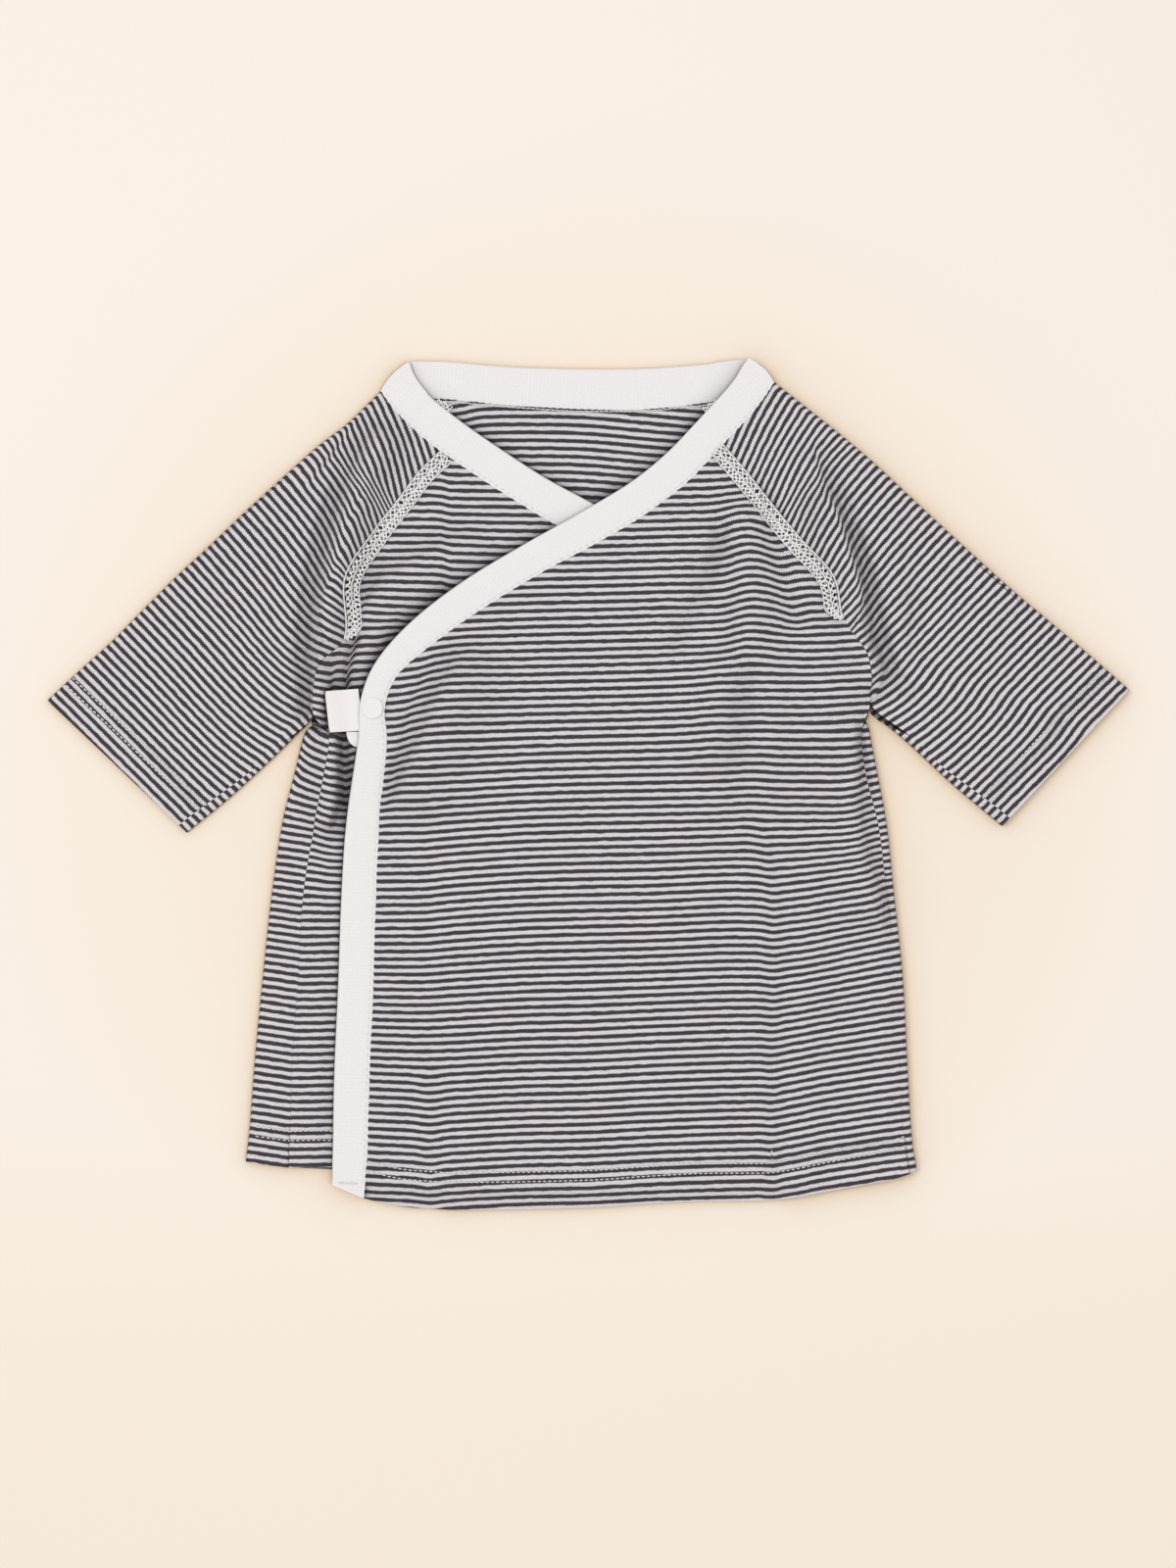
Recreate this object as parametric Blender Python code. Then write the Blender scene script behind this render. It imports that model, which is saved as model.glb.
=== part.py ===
"""A baby's wrap-over t-shirt with raglan sleeves, lying flat on its back, its front up.

The neck points to +Y and the wearer's left side to +X.  Z = 0 is the surface it lies on and
the origin is under the middle of its bounding box.  The wearer's left front laps over the
right front and is held by one press stud.  Every cloth piece is a thin wall: a grid of
stations across the piece, one row of stations for each section, thickened to both sides.
The fronts, the back and the sleeves share the lines of their seams, so that neighbouring
pieces follow each other a small gap apart.

Tables are in millimetres.
"""
from collections import namedtuple
from math import cos, exp, hypot, pi, sin

import bmesh
import bpy
from mathutils import Vector

MM = 0.001

# ---------------------------------------------------------------- driving sizes
WALL = 1.0              # jersey
BAND = 1.6              # bound edge: rib folded round the jersey
GAP = 0.3               # between neighbouring pieces
Z_BACK = WALL / 2                       # middle of the back's wall
Z_UNDER = BAND + GAP + WALL / 2         # right front, above the back and its neck binding
Z_OVER = Z_UNDER + BAND + GAP           # left front, above the right front's binding
TURN_STEPS = 4                          # facets of a fold at a side or a shoulder
END_STEP = 0.7                          # spacing of the stations at a flat edge

STUD = Vector((-79.2, 27.5))            # press stud through the corner of the left front
STUD_RADIUS = 4.0
STUD_POST_RADIUS = 1.4
STUD_CLEARANCE = 0.3
STUD_FLANGE = 0.8                       # thickness of its cap and of its socket
STUD_LIFT = 0.8                         # how far the socket pushes the binding up
STUD_FACETS = 32

TAPE_WALL = 0.5
TAPE_LENGTH = 11.0
TAPE_WIDTH = 15.0

COLOURS = {                             # sRGB 0..1, roughness
    "jersey": ((0.56, 0.54, 0.56), 0.9),
    "rib": ((0.94, 0.92, 0.91), 0.85),
    "tape": ((0.97, 0.97, 0.97), 0.8),
    "stud": ((0.95, 0.94, 0.93), 0.4),
}

# ---------------------------------------------------------------- section tables
# Body, hem to underarm: one row for each section right across the garment.
# fold: where the back turns up to the front; lip: how far it then reaches to the side seam.
Body = namedtuple("Body", "left_x left_y left_lip right_x right_y right_lip")
BODY = [Body(*row) for row in (
    (-126.0, -139.3, 16.0, 121.0, -142.5, 3.5),
    (-124.5, -126.0, 15.0, 119.0, -129.0, 3.5),
    (-122.5, -100.0, 14.0, 117.4, -101.0, 3.5),
    (-119.6, -70.0, 13.2, 115.8, -71.0, 3.5),
    (-116.3, -40.0, 11.7, 112.6, -41.0, 3.5),
    (-112.6, -15.0, 12.2, 110.0, -16.0, 3.5),
    (-108.2, 3.0, 11.4, 106.6, 3.0, 4.5),
    (-104.6, 17.6, 9.6, 103.6, 19.0, 3.5),
)]

# Armhole, underarm to neck: one row for each cut from the shoulder fold to the raglan seams.
Armhole = namedtuple("Armhole", "shoulder_x shoulder_y front_x front_y back_x back_y")
ARMHOLE_RIGHT = [Armhole(*row) for row in (
    (-165.0, 62.6, -100.4, 25.5, -101.4, 24.5),
    (-152.0, 75.6, -97.2, 42.5, -98.0, 41.0),
    (-139.5, 87.2, -89.0, 57.0, -92.0, 58.5),
    (-126.0, 100.1, -86.0, 77.0, -87.0, 76.0),
    (-112.5, 112.4, -79.0, 93.0, -79.5, 93.5),
    (-99.5, 123.9, -71.5, 104.5, -71.5, 110.0),
    (-88.5, 132.3, -64.5, 115.0, -63.5, 126.0),
    (-76.5, 144.0, -57.2, 123.6, -55.5, 141.0),
)]
ARMHOLE_LEFT = [Armhole(*row) for row in (
    (157.0, 70.3, 103.6, 29.5, 103.2, 27.0),
    (143.5, 82.4, 102.6, 46.0, 99.0, 44.0),
    (130.5, 94.3, 93.5, 61.0, 93.5, 60.0),
    (117.5, 106.4, 88.5, 76.5, 87.0, 76.0),
    (104.5, 118.5, 77.5, 90.5, 77.0, 93.0),
    (92.0, 129.0, 67.5, 102.8, 67.0, 109.0),
    (80.0, 138.5, 58.2, 113.6, 57.0, 124.0),
    (68.5, 147.5, 49.2, 123.0, 47.5, 141.0),
)]

# Arm, below the armhole down to the cuff: shoulder fold to underarm seam.
Arm = namedtuple("Arm", "shoulder_x shoulder_y under_x under_y")
ARM_RIGHT = [Arm(*row) for row in (
    (-175.5, 52.0, -112.0, 13.0),
    (-187.5, 41.2, -130.5, -4.2),
    (-199.0, 30.5, -147.6, -18.2),
)]
ARM_LEFT = [Arm(*row) for row in (
    (170.0, 59.4, 117.5, 14.8),
    (184.5, 47.2, 135.0, -1.4),
    (199.0, 34.5, 152.3, -15.8),
)]

# Bound edges of the two fronts: the jersey's edge and the width of the binding outside it.
# The first rows go up the front, one for each row of BODY and then of ARMHOLE.  The last
# two carry the binding on along the top of the sleeve to the shoulder.
Edge = namedtuple("Edge", "x y width")
EDGE_OVER = [Edge(*row) for row in (
    (-82.0, -152.5, 11.6),
    (-81.2, -137.0, 12.3),
    (-80.0, -107.0, 13.3),
    (-78.3, -75.0, 13.6),
    (-77.0, -42.0, 13.2),
    (-76.0, -15.0, 12.4),
    (-74.8, 5.0, 11.6),
    (-73.8, 23.0, 11.0),
    (-69.5, 39.5, 12.2),
    (-57.0, 51.0, 13.2),
    (-38.0, 64.0, 13.6),
    (-17.0, 77.0, 13.8),
    (3.0, 89.3, 13.8),
    (22.0, 100.7, 13.8),
    (37.0, 111.5, 13.8),
    (48.0, 122.6, 13.6),
    (57.6, 134.9, 13.8),
    (67.0, 147.0, 14.2),
)]
EDGE_UNDER = [Edge(*row) for row in (
    (70.0, -146.5, 12.5),
    (70.2, -134.0, 12.5),
    (70.6, -106.0, 13.0),
    (71.0, -74.0, 13.2),
    (72.0, -41.0, 13.2),
    (73.0, -15.0, 12.4),
    (74.0, 4.0, 11.6),
    (74.0, 22.0, 11.0),
    (70.0, 39.0, 12.2),
    (57.5, 50.8, 13.2),
    (38.5, 63.8, 13.6),
    (17.5, 76.6, 13.8),
    (-3.0, 89.6, 13.8),
    (-22.0, 100.6, 13.8),
    (-40.0, 111.6, 13.6),
    (-56.0, 123.2, 13.6),
    (-64.6, 132.5, 13.6),
    (-75.8, 144.2, 13.8),
)]

# Back neck: the jersey's edge, left to right, and the binding's width above it.
EDGE_BACK = [Edge(*row) for row in (
    (-66.0, 144.8, 10.8),
    (-52.0, 142.0, 13.4),
    (-30.0, 140.2, 13.3),
    (-5.0, 139.4, 13.3),
    (20.0, 139.8, 13.2),
    (43.0, 141.7, 13.2),
    (57.5, 145.8, 11.6),
)]
NECK_SAG = -2.4         # the back's top edge dips this far between the raglan seams
BACK_HEM_SAG = -4.0     # hems sag between the side folds, and the sag fades upwards
OVER_HEM_SAG = -8.8
SAG_ROWS = 4            # over this many rows of BODY

# Soft folds of the upper layers: a ridge from one point to the other, its half width, height.
Fold = namedtuple("Fold", "x0 y0 x1 y1 width height")
FOLDS = [Fold(*row) for row in (
    (56.0, 104.0, 53.0, 28.0, 6.0, 1.8),        # from the neck down the left chest
    (79.0, -62.0, 78.0, -150.0, 7.0, 0.9),      # over the hidden binding of the right front
    (-50.0, -92.0, -50.0, -155.0, 6.0, 0.9),    # beside the wrap edge, at the hem
    (-62.0, 34.0, -67.0, 8.0, 4.5, 1.0),        # pull from the press stud
    (96.0, 12.0, 94.0, -26.0, 3.5, 0.9),        # below the left underarm
    (91.0, 108.0, 103.0, 64.0, 4.5, 1.6),       # left sleeve, along the raglan seam
    (128.0, 84.0, 112.0, 40.0, 7.0, 1.0),
    (-96.5, 98.0, -101.0, 56.0, 4.5, 1.6),      # right sleeve, along the raglan seam
    (-134.0, 78.0, -118.0, 34.0, 7.0, 1.0),
)]


# ---------------------------------------------------------------- working with lines
def shifted(line, distances):
    """Each point of an open line moved to its left by its distance (negative: right)."""
    moved = []
    for index, point in enumerate(line):
        before = line[max(index - 1, 0)]
        after = line[min(index + 1, len(line) - 1)]
        along = (after - before).normalized()
        moved.append(point + Vector((-along.y, along.x)) * distances[index])
    return moved


def spread(start, end, count):
    """Evenly spaced points from start to end, both included."""
    return [start.lerp(end, step / (count - 1)) for step in range(count)]


def subdivided(line, pieces):
    """The line with each stretch cut into equal pieces."""
    points = []
    for start, end in zip(line, line[1:]):
        points += spread(start, end, pieces + 1)[:-1]
    return points + [line[-1]]


def rise(x, y):
    """Height that the folds add to an upper layer."""
    height = 0.0
    for fold in FOLDS:
        run = Vector((fold.x1 - fold.x0, fold.y1 - fold.y0))
        away = Vector((x - fold.x0, y - fold.y0))
        share = min(max(away.dot(run) / run.length_squared, 0.0), 1.0)
        distance = (away - run * share).length
        height += fold.height * exp(-(distance / fold.width) ** 2)
    return height


def stud_rise(x, y):
    """Height that the press stud's socket adds to the binding over it."""
    distance = hypot(x - STUD.x, y - STUD.y)
    return STUD_LIFT * min(max(2.4 - distance / STUD_RADIUS, 0.0), 1.0)


# ---------------------------------------------------------------- stations of a section
UP = Vector((0.0, 0.0, 1.0))


def station(point, z, normal):
    return Vector((point.x, point.y, z)), normal


def bowed(points, bow):
    """A row of points with its middle moved along Y."""
    last = len(points) - 1
    return [point + Vector((0.0, 4 * bow * step * (last - step) / last ** 2))
            for step, point in enumerate(points)]


def turn(edge, outward, z_low, z_high):
    """Stations round a fold, bottom to top; the cloth's outside just reaches the edge."""
    radius = (z_high - z_low) / 2
    centre = edge - outward * (radius + WALL / 2)
    stations = []
    for step in range(1, TURN_STEPS):
        angle = pi * step / TURN_STEPS - pi / 2
        normal = Vector((outward.x, outward.y, 0.0)) * cos(angle) + UP * sin(angle)
        middle = Vector((centre.x, centre.y, (z_low + z_high) / 2))
        stations.append((middle + normal * radius, normal))
    return stations


def side(edge, inward, lip, z_low, z_high):
    """The end of a lower layer, from its last flat station to its free edge.

    With a lip it turns up to the front and reaches back inwards; without, it lies flat.
    """
    count = TURN_STEPS + 2
    if lip == 0.0:
        return [station(edge + inward * END_STEP * (count - 1 - step), z_low, -UP)
                for step in range(count)]
    radius = (z_high - z_low) / 2 + WALL / 2
    stations = [station(edge + inward * radius, z_low, -UP)]
    stations += turn(edge, -inward, z_low, z_high)
    stations.append(station(edge + inward * radius, z_high, UP))
    stations.append(station(edge + inward * lip, z_high, UP))
    return stations


def thick_sheet(name, rows, wall, slot):
    """A closed solid from rows of (point, normal) stations, half the wall to each side."""
    mesh = bmesh.new()
    outer = [[mesh.verts.new((point + normal * wall / 2) * MM) for point, normal in row]
             for row in rows]
    inner = [[mesh.verts.new((point - normal * wall / 2) * MM) for point, normal in row]
             for row in rows]
    last_row = len(rows) - 1
    last = len(rows[0]) - 1
    for row in range(last_row):
        for column in range(last):
            for grid in (outer, inner):
                mesh.faces.new((grid[row][column], grid[row][column + 1],
                                grid[row + 1][column + 1], grid[row + 1][column]))
        for column in (0, last):
            mesh.faces.new((outer[row][column], outer[row + 1][column],
                            inner[row + 1][column], inner[row][column]))
    for row in (0, last_row):
        for column in range(last):
            mesh.faces.new((outer[row][column], outer[row][column + 1],
                            inner[row][column + 1], inner[row][column]))
    return finished(name, mesh, slot)


def finished(name, mesh, slot):
    """Turn a bmesh into a named object with its own material."""
    bmesh.ops.recalc_face_normals(mesh, faces=mesh.faces)
    bmesh.ops.triangulate(mesh, faces=mesh.faces)
    data = bpy.data.meshes.new(name)
    mesh.to_mesh(data)
    mesh.free()
    colour, roughness = COLOURS[slot]
    material = bpy.data.materials.new(name + "_" + slot)
    material.use_nodes = True
    shader = material.node_tree.nodes["Principled BSDF"]
    shader.inputs["Base Color"].default_value = (*[channel ** 2.2 for channel in colour], 1.0)
    shader.inputs["Roughness"].default_value = roughness
    shader.inputs["Metallic"].default_value = 0.0
    data.materials.append(material)
    item = bpy.data.objects.new(name, data)
    bpy.context.scene.collection.objects.link(item)
    return item


# ---------------------------------------------------------------- the seams, as lines
def edge_line(table):
    return [Vector((row.x, row.y)) for row in table]


def front_line(table):
    return [Vector((row.front_x, row.front_y)) for row in table]


def back_line(table):
    return [Vector((row.back_x, row.back_y)) for row in table]


def shoulder_line(table):
    return [Vector((row.shoulder_x, row.shoulder_y)) for row in table]


SIDE_SEAM_RIGHT = [Vector((row.left_x + row.left_lip, row.left_y)) for row in BODY]
SIDE_SEAM_LEFT = [Vector((row.right_x - row.right_lip, row.right_y)) for row in BODY]


def hem_sag(row, depth):
    """A hem's sag, fading out over the lowest rows of the body."""
    return depth * max(1.0 - row / SAG_ROWS, 0.0) ** 1.5


# ---------------------------------------------------------------- pieces
def back_panel():
    """The back: flat below, turned up to the front at both sides up to the underarms."""
    columns = 5
    rows = []
    for index, row in enumerate(BODY):
        left = Vector((row.left_x, row.left_y))
        right = Vector((row.right_x, row.right_y))
        across = (right - left).normalized()
        left_side = side(left, across, row.left_lip, Z_BACK, Z_UNDER)
        right_side = side(right, -across, row.right_lip, Z_BACK, Z_OVER)
        start = left_side[0][0].xy
        end = right_side[0][0].xy
        middle = bowed(spread(start, end, columns), hem_sag(index, BACK_HEM_SAG))
        flat = [station(point, Z_BACK, -UP) for point in middle[1:-1]]
        rows.append(left_side[::-1] + flat + right_side)
    lefts = back_line(ARMHOLE_RIGHT)
    rights = back_line(ARMHOLE_LEFT)
    for index, (left, right) in enumerate(zip(lefts, rights)):
        across = (right - left).normalized()
        left_side = side(left, across, 0.0, Z_BACK, Z_UNDER)
        right_side = side(right, -across, 0.0, Z_BACK, Z_OVER)
        sag = NECK_SAG if index == len(lefts) - 1 else 0.0
        middle = bowed(spread(left_side[0][0].xy, right_side[0][0].xy, columns), sag)
        flat = [station(point, Z_BACK, -UP) for point in middle[1:-1]]
        rows.append(left_side[::-1] + flat + right_side)
    return thick_sheet("back_panel", rows, WALL, "jersey")


def front_panel(name, left_line, right_line, columns, pieces, height, hem_depth):
    """A front between its two edges, at the height that a function gives for each point."""
    sags = [hem_sag(row, hem_depth) for row in range(len(left_line))]
    lefts = subdivided(left_line, pieces)
    rights = subdivided(right_line, pieces)
    rows = []
    for index, (left, right) in enumerate(zip(lefts, rights)):
        low = index // pieces
        share = index % pieces / pieces
        sag = sags[low] + (sags[min(low + 1, len(sags) - 1)] - sags[low]) * share
        points = bowed(spread(left, right, columns), sag)
        rows.append([station(point, height(point.x, point.y), UP) for point in points])
    return thick_sheet(name, rows, WALL, "jersey")


def front_under():
    """The right front, which lies under the other: it is flat."""
    count = len(BODY) + len(ARMHOLE_RIGHT)
    seam = SIDE_SEAM_RIGHT + front_line(ARMHOLE_RIGHT)
    edge = edge_line(EDGE_UNDER)[:count]
    left = shifted(seam, [-GAP] * count)
    right = shifted(edge, [GAP] * count)
    return front_panel("front_under", left, right, 6, 1, lambda x, y: Z_UNDER, BACK_HEM_SAG)


def front_over():
    """The left front, on top, with the main folds."""
    count = len(BODY) + len(ARMHOLE_LEFT)
    seam = SIDE_SEAM_LEFT + front_line(ARMHOLE_LEFT)
    edge = edge_line(EDGE_OVER)[:count]
    left = shifted(edge, [-GAP] * count)
    right = shifted(seam, [GAP] * count)
    return front_panel("front_over", left, right, 22, 2,
                       lambda x, y: Z_OVER + rise(x, y), OVER_HEM_SAG)


def sleeve(name, armhole, arm, z_top):
    """A raglan sleeve: one piece folded along the shoulder, seamed below the arm.

    Above the underarm its two layers end at the raglan seams of a front and of the back.
    Below it the lower layer turns up and meets the upper layer at the underarm seam.
    """
    pieces = 2
    upper_count = 11
    lower_count = 4
    under_lip = 5.0
    down = armhole[::-1]
    under = [Vector((row.under_x, row.under_y)) for row in arm]
    shoulders = subdivided(shoulder_line(down) + shoulder_line(arm), pieces)
    fronts = subdivided(front_line(down) + under, pieces)
    backs = subdivided(back_line(down) + under, pieces)
    first_arm_row = len(armhole) * pieces
    fall = (z_top - Z_UNDER) / (len(shoulders) - 1)
    rows = []
    for index, (shoulder, front, back) in enumerate(zip(shoulders, fronts, backs)):
        z_high = z_top - fall * index
        lip = under_lip if index >= first_arm_row else 0.0
        radius = (z_high - Z_BACK) / 2 + WALL / 2
        to_front = (front - shoulder).normalized()
        to_back = (back - shoulder).normalized()
        upper_end = front - to_front * (lip + GAP)
        upper = [station(point, z_high + rise(point.x, point.y), UP)
                 for point in spread(upper_end, shoulder + to_front * radius, upper_count)]
        fold = turn(shoulder, -to_back, Z_BACK, z_high)[::-1]
        lower_side = side(back - to_back * (0.0 if lip else GAP), -to_back, lip,
                          Z_BACK, z_high)
        lower = [station(point, Z_BACK, -UP)
                 for point in spread(shoulder + to_back * radius, lower_side[0][0].xy,
                                     lower_count)[:-1]]
        rows.append(upper + fold + lower + lower_side)
    return thick_sheet(name, rows, WALL, "jersey")


def binding(name, table, outward, base, lift):
    """Rib folded over a cut edge: a band outside the edge, standing on its own base height."""
    edge = edge_line(table)
    free = shifted(edge, [row.width * outward for row in table])
    pieces = 3
    rows = []
    for near, far in zip(subdivided(edge, pieces), subdivided(free, pieces)):
        points = spread(near, far, 5)
        rows.append([station(point, base + BAND / 2 + lift(point.x, point.y), UP)
                     for point in points])
    return thick_sheet(name, rows, BAND, "rib")


def level(x, y):
    """No lift anywhere."""
    return 0.0


def stud_part(name, hole_radius, z_low, z_high, post_low=None):
    """A turned stud part: a flange with a bore, or a dished cap with a post below it."""
    bevel = 0.3
    dish_depth = 0.4
    profile = [(hole_radius, z_high), (STUD_RADIUS - bevel, z_high),
               (STUD_RADIUS, z_high - bevel), (STUD_RADIUS, z_low)]
    if post_low is None:
        profile += [(hole_radius, z_low)]
    else:
        profile += [(STUD_POST_RADIUS, z_low), (STUD_POST_RADIUS, post_low)]
    mesh = bmesh.new()
    rings = []
    for ring_radius, z in profile:
        rings.append([mesh.verts.new(Vector((
            STUD.x + ring_radius * cos(2 * pi * step / STUD_FACETS),
            STUD.y + ring_radius * sin(2 * pi * step / STUD_FACETS), z)) * MM)
            for step in range(STUD_FACETS)])
    pairs = list(zip(rings, rings[1:]))
    if post_low is None:
        pairs.append((rings[-1], rings[0]))
    else:
        dish = mesh.verts.new(Vector((STUD.x, STUD.y, z_high - dish_depth)) * MM)
        for step in range(STUD_FACETS):
            mesh.faces.new((rings[0][step], rings[0][(step + 1) % STUD_FACETS], dish))
        mesh.faces.new(rings[-1])
    for upper, lower in pairs:
        for step in range(STUD_FACETS):
            after = (step + 1) % STUD_FACETS
            mesh.faces.new((upper[step], upper[after], lower[after], lower[step]))
    return finished(name, mesh, "stud")


def drilled(item):
    """Bore the hole for the stud's post through the binding."""
    bpy.ops.mesh.primitive_cylinder_add(
        vertices=STUD_FACETS, radius=(STUD_POST_RADIUS + STUD_CLEARANCE) * MM, depth=20 * MM,
        location=Vector((STUD.x, STUD.y, 0.0)) * MM)
    cutter = bpy.context.active_object
    cutter.name = "stud_hole_cutter"
    cutter.hide_render = True
    cutter.display_type = "WIRE"
    bore = item.modifiers.new("stud hole", "BOOLEAN")
    bore.operation = "DIFFERENCE"
    bore.object = cutter
    return item


def press_stud():
    """Cap and post on top of the corner, socket between it and the right front."""
    binding_low = Z_OVER - WALL / 2 + STUD_LIFT
    binding_high = binding_low + BAND
    socket_low = Z_UNDER + WALL / 2 + GAP
    cap_low = binding_high + GAP
    dish_radius = 1.5
    stud_part("stud_cap", dish_radius, cap_low, cap_low + STUD_FLANGE, socket_low)
    stud_part("stud_socket", STUD_POST_RADIUS + STUD_CLEARANCE,
              socket_low, socket_low + STUD_FLANGE)


def tape_tab():
    """A short tape folded end to end, its fold outwards, sewn in under the wrap's corner."""
    corner = Vector((-96.7, 26.2))      # middle of the folded end
    along = Vector((1.0, 0.05)).normalized()
    across = Vector((-along.y, along.x))
    z_low = Z_UNDER + WALL / 2 + GAP + TAPE_WALL / 2
    z_high = z_low + TAPE_WALL + GAP
    radius = (z_high - z_low) / 2
    rows = []
    for step in range(4):
        middle = corner + across * TAPE_WIDTH * (step / 3 - 0.5)
        far = middle + along * TAPE_LENGTH
        near = middle + along * (radius + TAPE_WALL / 2)
        fold = []
        for part in range(1, TURN_STEPS):
            angle = pi * part / TURN_STEPS - pi / 2
            normal = Vector((-along.x, -along.y, 0.0)) * cos(angle) + UP * sin(angle)
            centre = Vector((near.x, near.y, (z_low + z_high) / 2))
            fold.append((centre + normal * radius, normal))
        rows.append([station(far, z_low, -UP), station(near, z_low, -UP)] + fold
                    + [station(near, z_high, UP), station(far, z_high, UP)])
    return thick_sheet("tape_tab", rows, TAPE_WALL, "tape")


def main():
    for item in list(bpy.data.objects):
        bpy.data.objects.remove(item)
    back_panel()
    front_under()
    front_over()
    sleeve("sleeve_right", ARMHOLE_RIGHT, ARM_RIGHT, Z_UNDER)
    sleeve("sleeve_left", ARMHOLE_LEFT, ARM_LEFT, Z_OVER)
    binding("binding_back", EDGE_BACK, 1, 0.0, level)
    binding("binding_under", EDGE_UNDER, -1, Z_UNDER - WALL / 2, level)
    drilled(binding("binding_over", EDGE_OVER, 1, Z_OVER - WALL / 2, stud_rise))
    press_stud()
    tape_tab()


main()
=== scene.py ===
import math
from collections import namedtuple

import bmesh
import bpy
import numpy as np
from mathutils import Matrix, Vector
from mathutils.bvhtree import BVHTree


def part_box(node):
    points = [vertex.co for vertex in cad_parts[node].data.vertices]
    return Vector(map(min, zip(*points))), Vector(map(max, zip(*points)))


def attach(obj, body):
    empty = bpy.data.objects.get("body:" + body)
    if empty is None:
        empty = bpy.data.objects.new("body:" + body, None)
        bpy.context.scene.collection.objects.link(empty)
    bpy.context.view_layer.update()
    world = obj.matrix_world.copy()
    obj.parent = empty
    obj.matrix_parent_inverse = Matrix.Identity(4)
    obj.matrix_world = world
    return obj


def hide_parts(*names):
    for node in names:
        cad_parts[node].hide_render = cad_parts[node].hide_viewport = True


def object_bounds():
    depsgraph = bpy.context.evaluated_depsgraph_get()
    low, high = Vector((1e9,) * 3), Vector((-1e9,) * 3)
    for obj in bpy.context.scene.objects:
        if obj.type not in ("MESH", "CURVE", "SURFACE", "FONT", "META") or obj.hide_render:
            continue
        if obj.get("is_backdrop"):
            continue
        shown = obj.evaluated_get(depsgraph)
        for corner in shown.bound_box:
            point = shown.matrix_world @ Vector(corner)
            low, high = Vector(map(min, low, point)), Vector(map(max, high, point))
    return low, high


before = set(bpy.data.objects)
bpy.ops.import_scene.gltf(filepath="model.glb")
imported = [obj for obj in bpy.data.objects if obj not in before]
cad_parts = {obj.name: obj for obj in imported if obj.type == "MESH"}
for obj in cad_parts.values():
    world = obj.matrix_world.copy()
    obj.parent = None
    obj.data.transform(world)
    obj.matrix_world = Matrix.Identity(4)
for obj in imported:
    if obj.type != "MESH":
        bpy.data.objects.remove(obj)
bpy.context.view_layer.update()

# ================================================================= back panel
# The back of the t-shirt: one piece of yarn-striped cotton single jersey, cut and sewn.
# It lies flat and turns up to the front along both sides, as far as the side seams.
MM = 0.001
CAD_WALL = 1.0              # the frame's cloth
WALL = 0.8                  # the cloth that shows
SEAM = 0.03                 # what a seam leaves open between two edges
INTO_BAND = 0.9             # how far a cut edge runs into the band folded round it
Z_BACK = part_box("back_panel")[0].z / MM + CAD_WALL / 2
Z_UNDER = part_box("front_under")[0].z / MM + CAD_WALL / 2
Z_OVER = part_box("front_over")[0].z / MM + CAD_WALL / 2
STRIPE = 2.906              # one dark and one light stripe together
DARK_SHARE = 0.52
STRIPE_JAG = 0.45           # a stripe's edge steps this much with each loop
STRIPE_WANDER = 0.9         # and strays this much along the row
STRIPE_BLUR = 0.16          # half of what one colour takes to turn into the other
WALE = 0.95                 # a column of knit loops; the real 0.5 mm is too fine to show
COURSE = 0.73               # a row of knit loops; the real 0.4 mm is too fine to show


def linear(colour):
    """A colour written as sRGB hex, as the linear values that a shader takes."""
    channels = [int(colour[start:start + 2], 16) / 255 for start in (1, 3, 5)]
    return (*[c / 12.92 if c <= 0.04045 else ((c + 0.055) / 1.055) ** 2.4 for c in channels], 1.0)


def add(tree, kind, settings=(), links=()):
    """A node, or the one there is of that name, with its settings (properties by name,
    inputs by name or number) and links, where a node stands for its first output."""
    item = tree.nodes.get(kind) or tree.nodes.new(kind)
    for key, value in dict(settings).items():
        if isinstance(key, str) and hasattr(item, key):
            setattr(item, key, value)
        else:
            item.inputs[key].default_value = value
    for key, source in dict(links).items():
        tree.links.new(getattr(source, "outputs", [source])[0], item.inputs[key])
    return item


def new_look(name):
    """A material and its tree, with a shader still to set."""
    look = bpy.data.materials.new(name)
    look.use_nodes = True
    return look, look.node_tree


def place_in_cloth(tree):
    """The place in the cloth in mm, and the same split into its two directions."""
    uv = add(tree, "ShaderNodeUVMap", {"uv_map": "cloth"})
    mm = add(tree, "ShaderNodeVectorMath", {"operation": "SCALE", "Scale": 1 / MM}, {0: uv})
    return mm, add(tree, "ShaderNodeSeparateXYZ", {}, {0: mm})


def with_painted_shade(tree, colour, reach, depth):
    """The colour with painted shade: darker where folds and edges within reach keep light from it.
    """
    seen = add(tree, "ShaderNodeAmbientOcclusion", {"samples": 6, "Distance": reach * MM})
    painted_fold_shade = add(tree, "ShaderNodeMath", {"operation": "POWER", 1: depth}, {0: seen.outputs[1]})
    return add(tree, "ShaderNodeVectorMath", {"operation": "SCALE"}, {0: colour, "Scale": painted_fold_shade})


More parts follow.
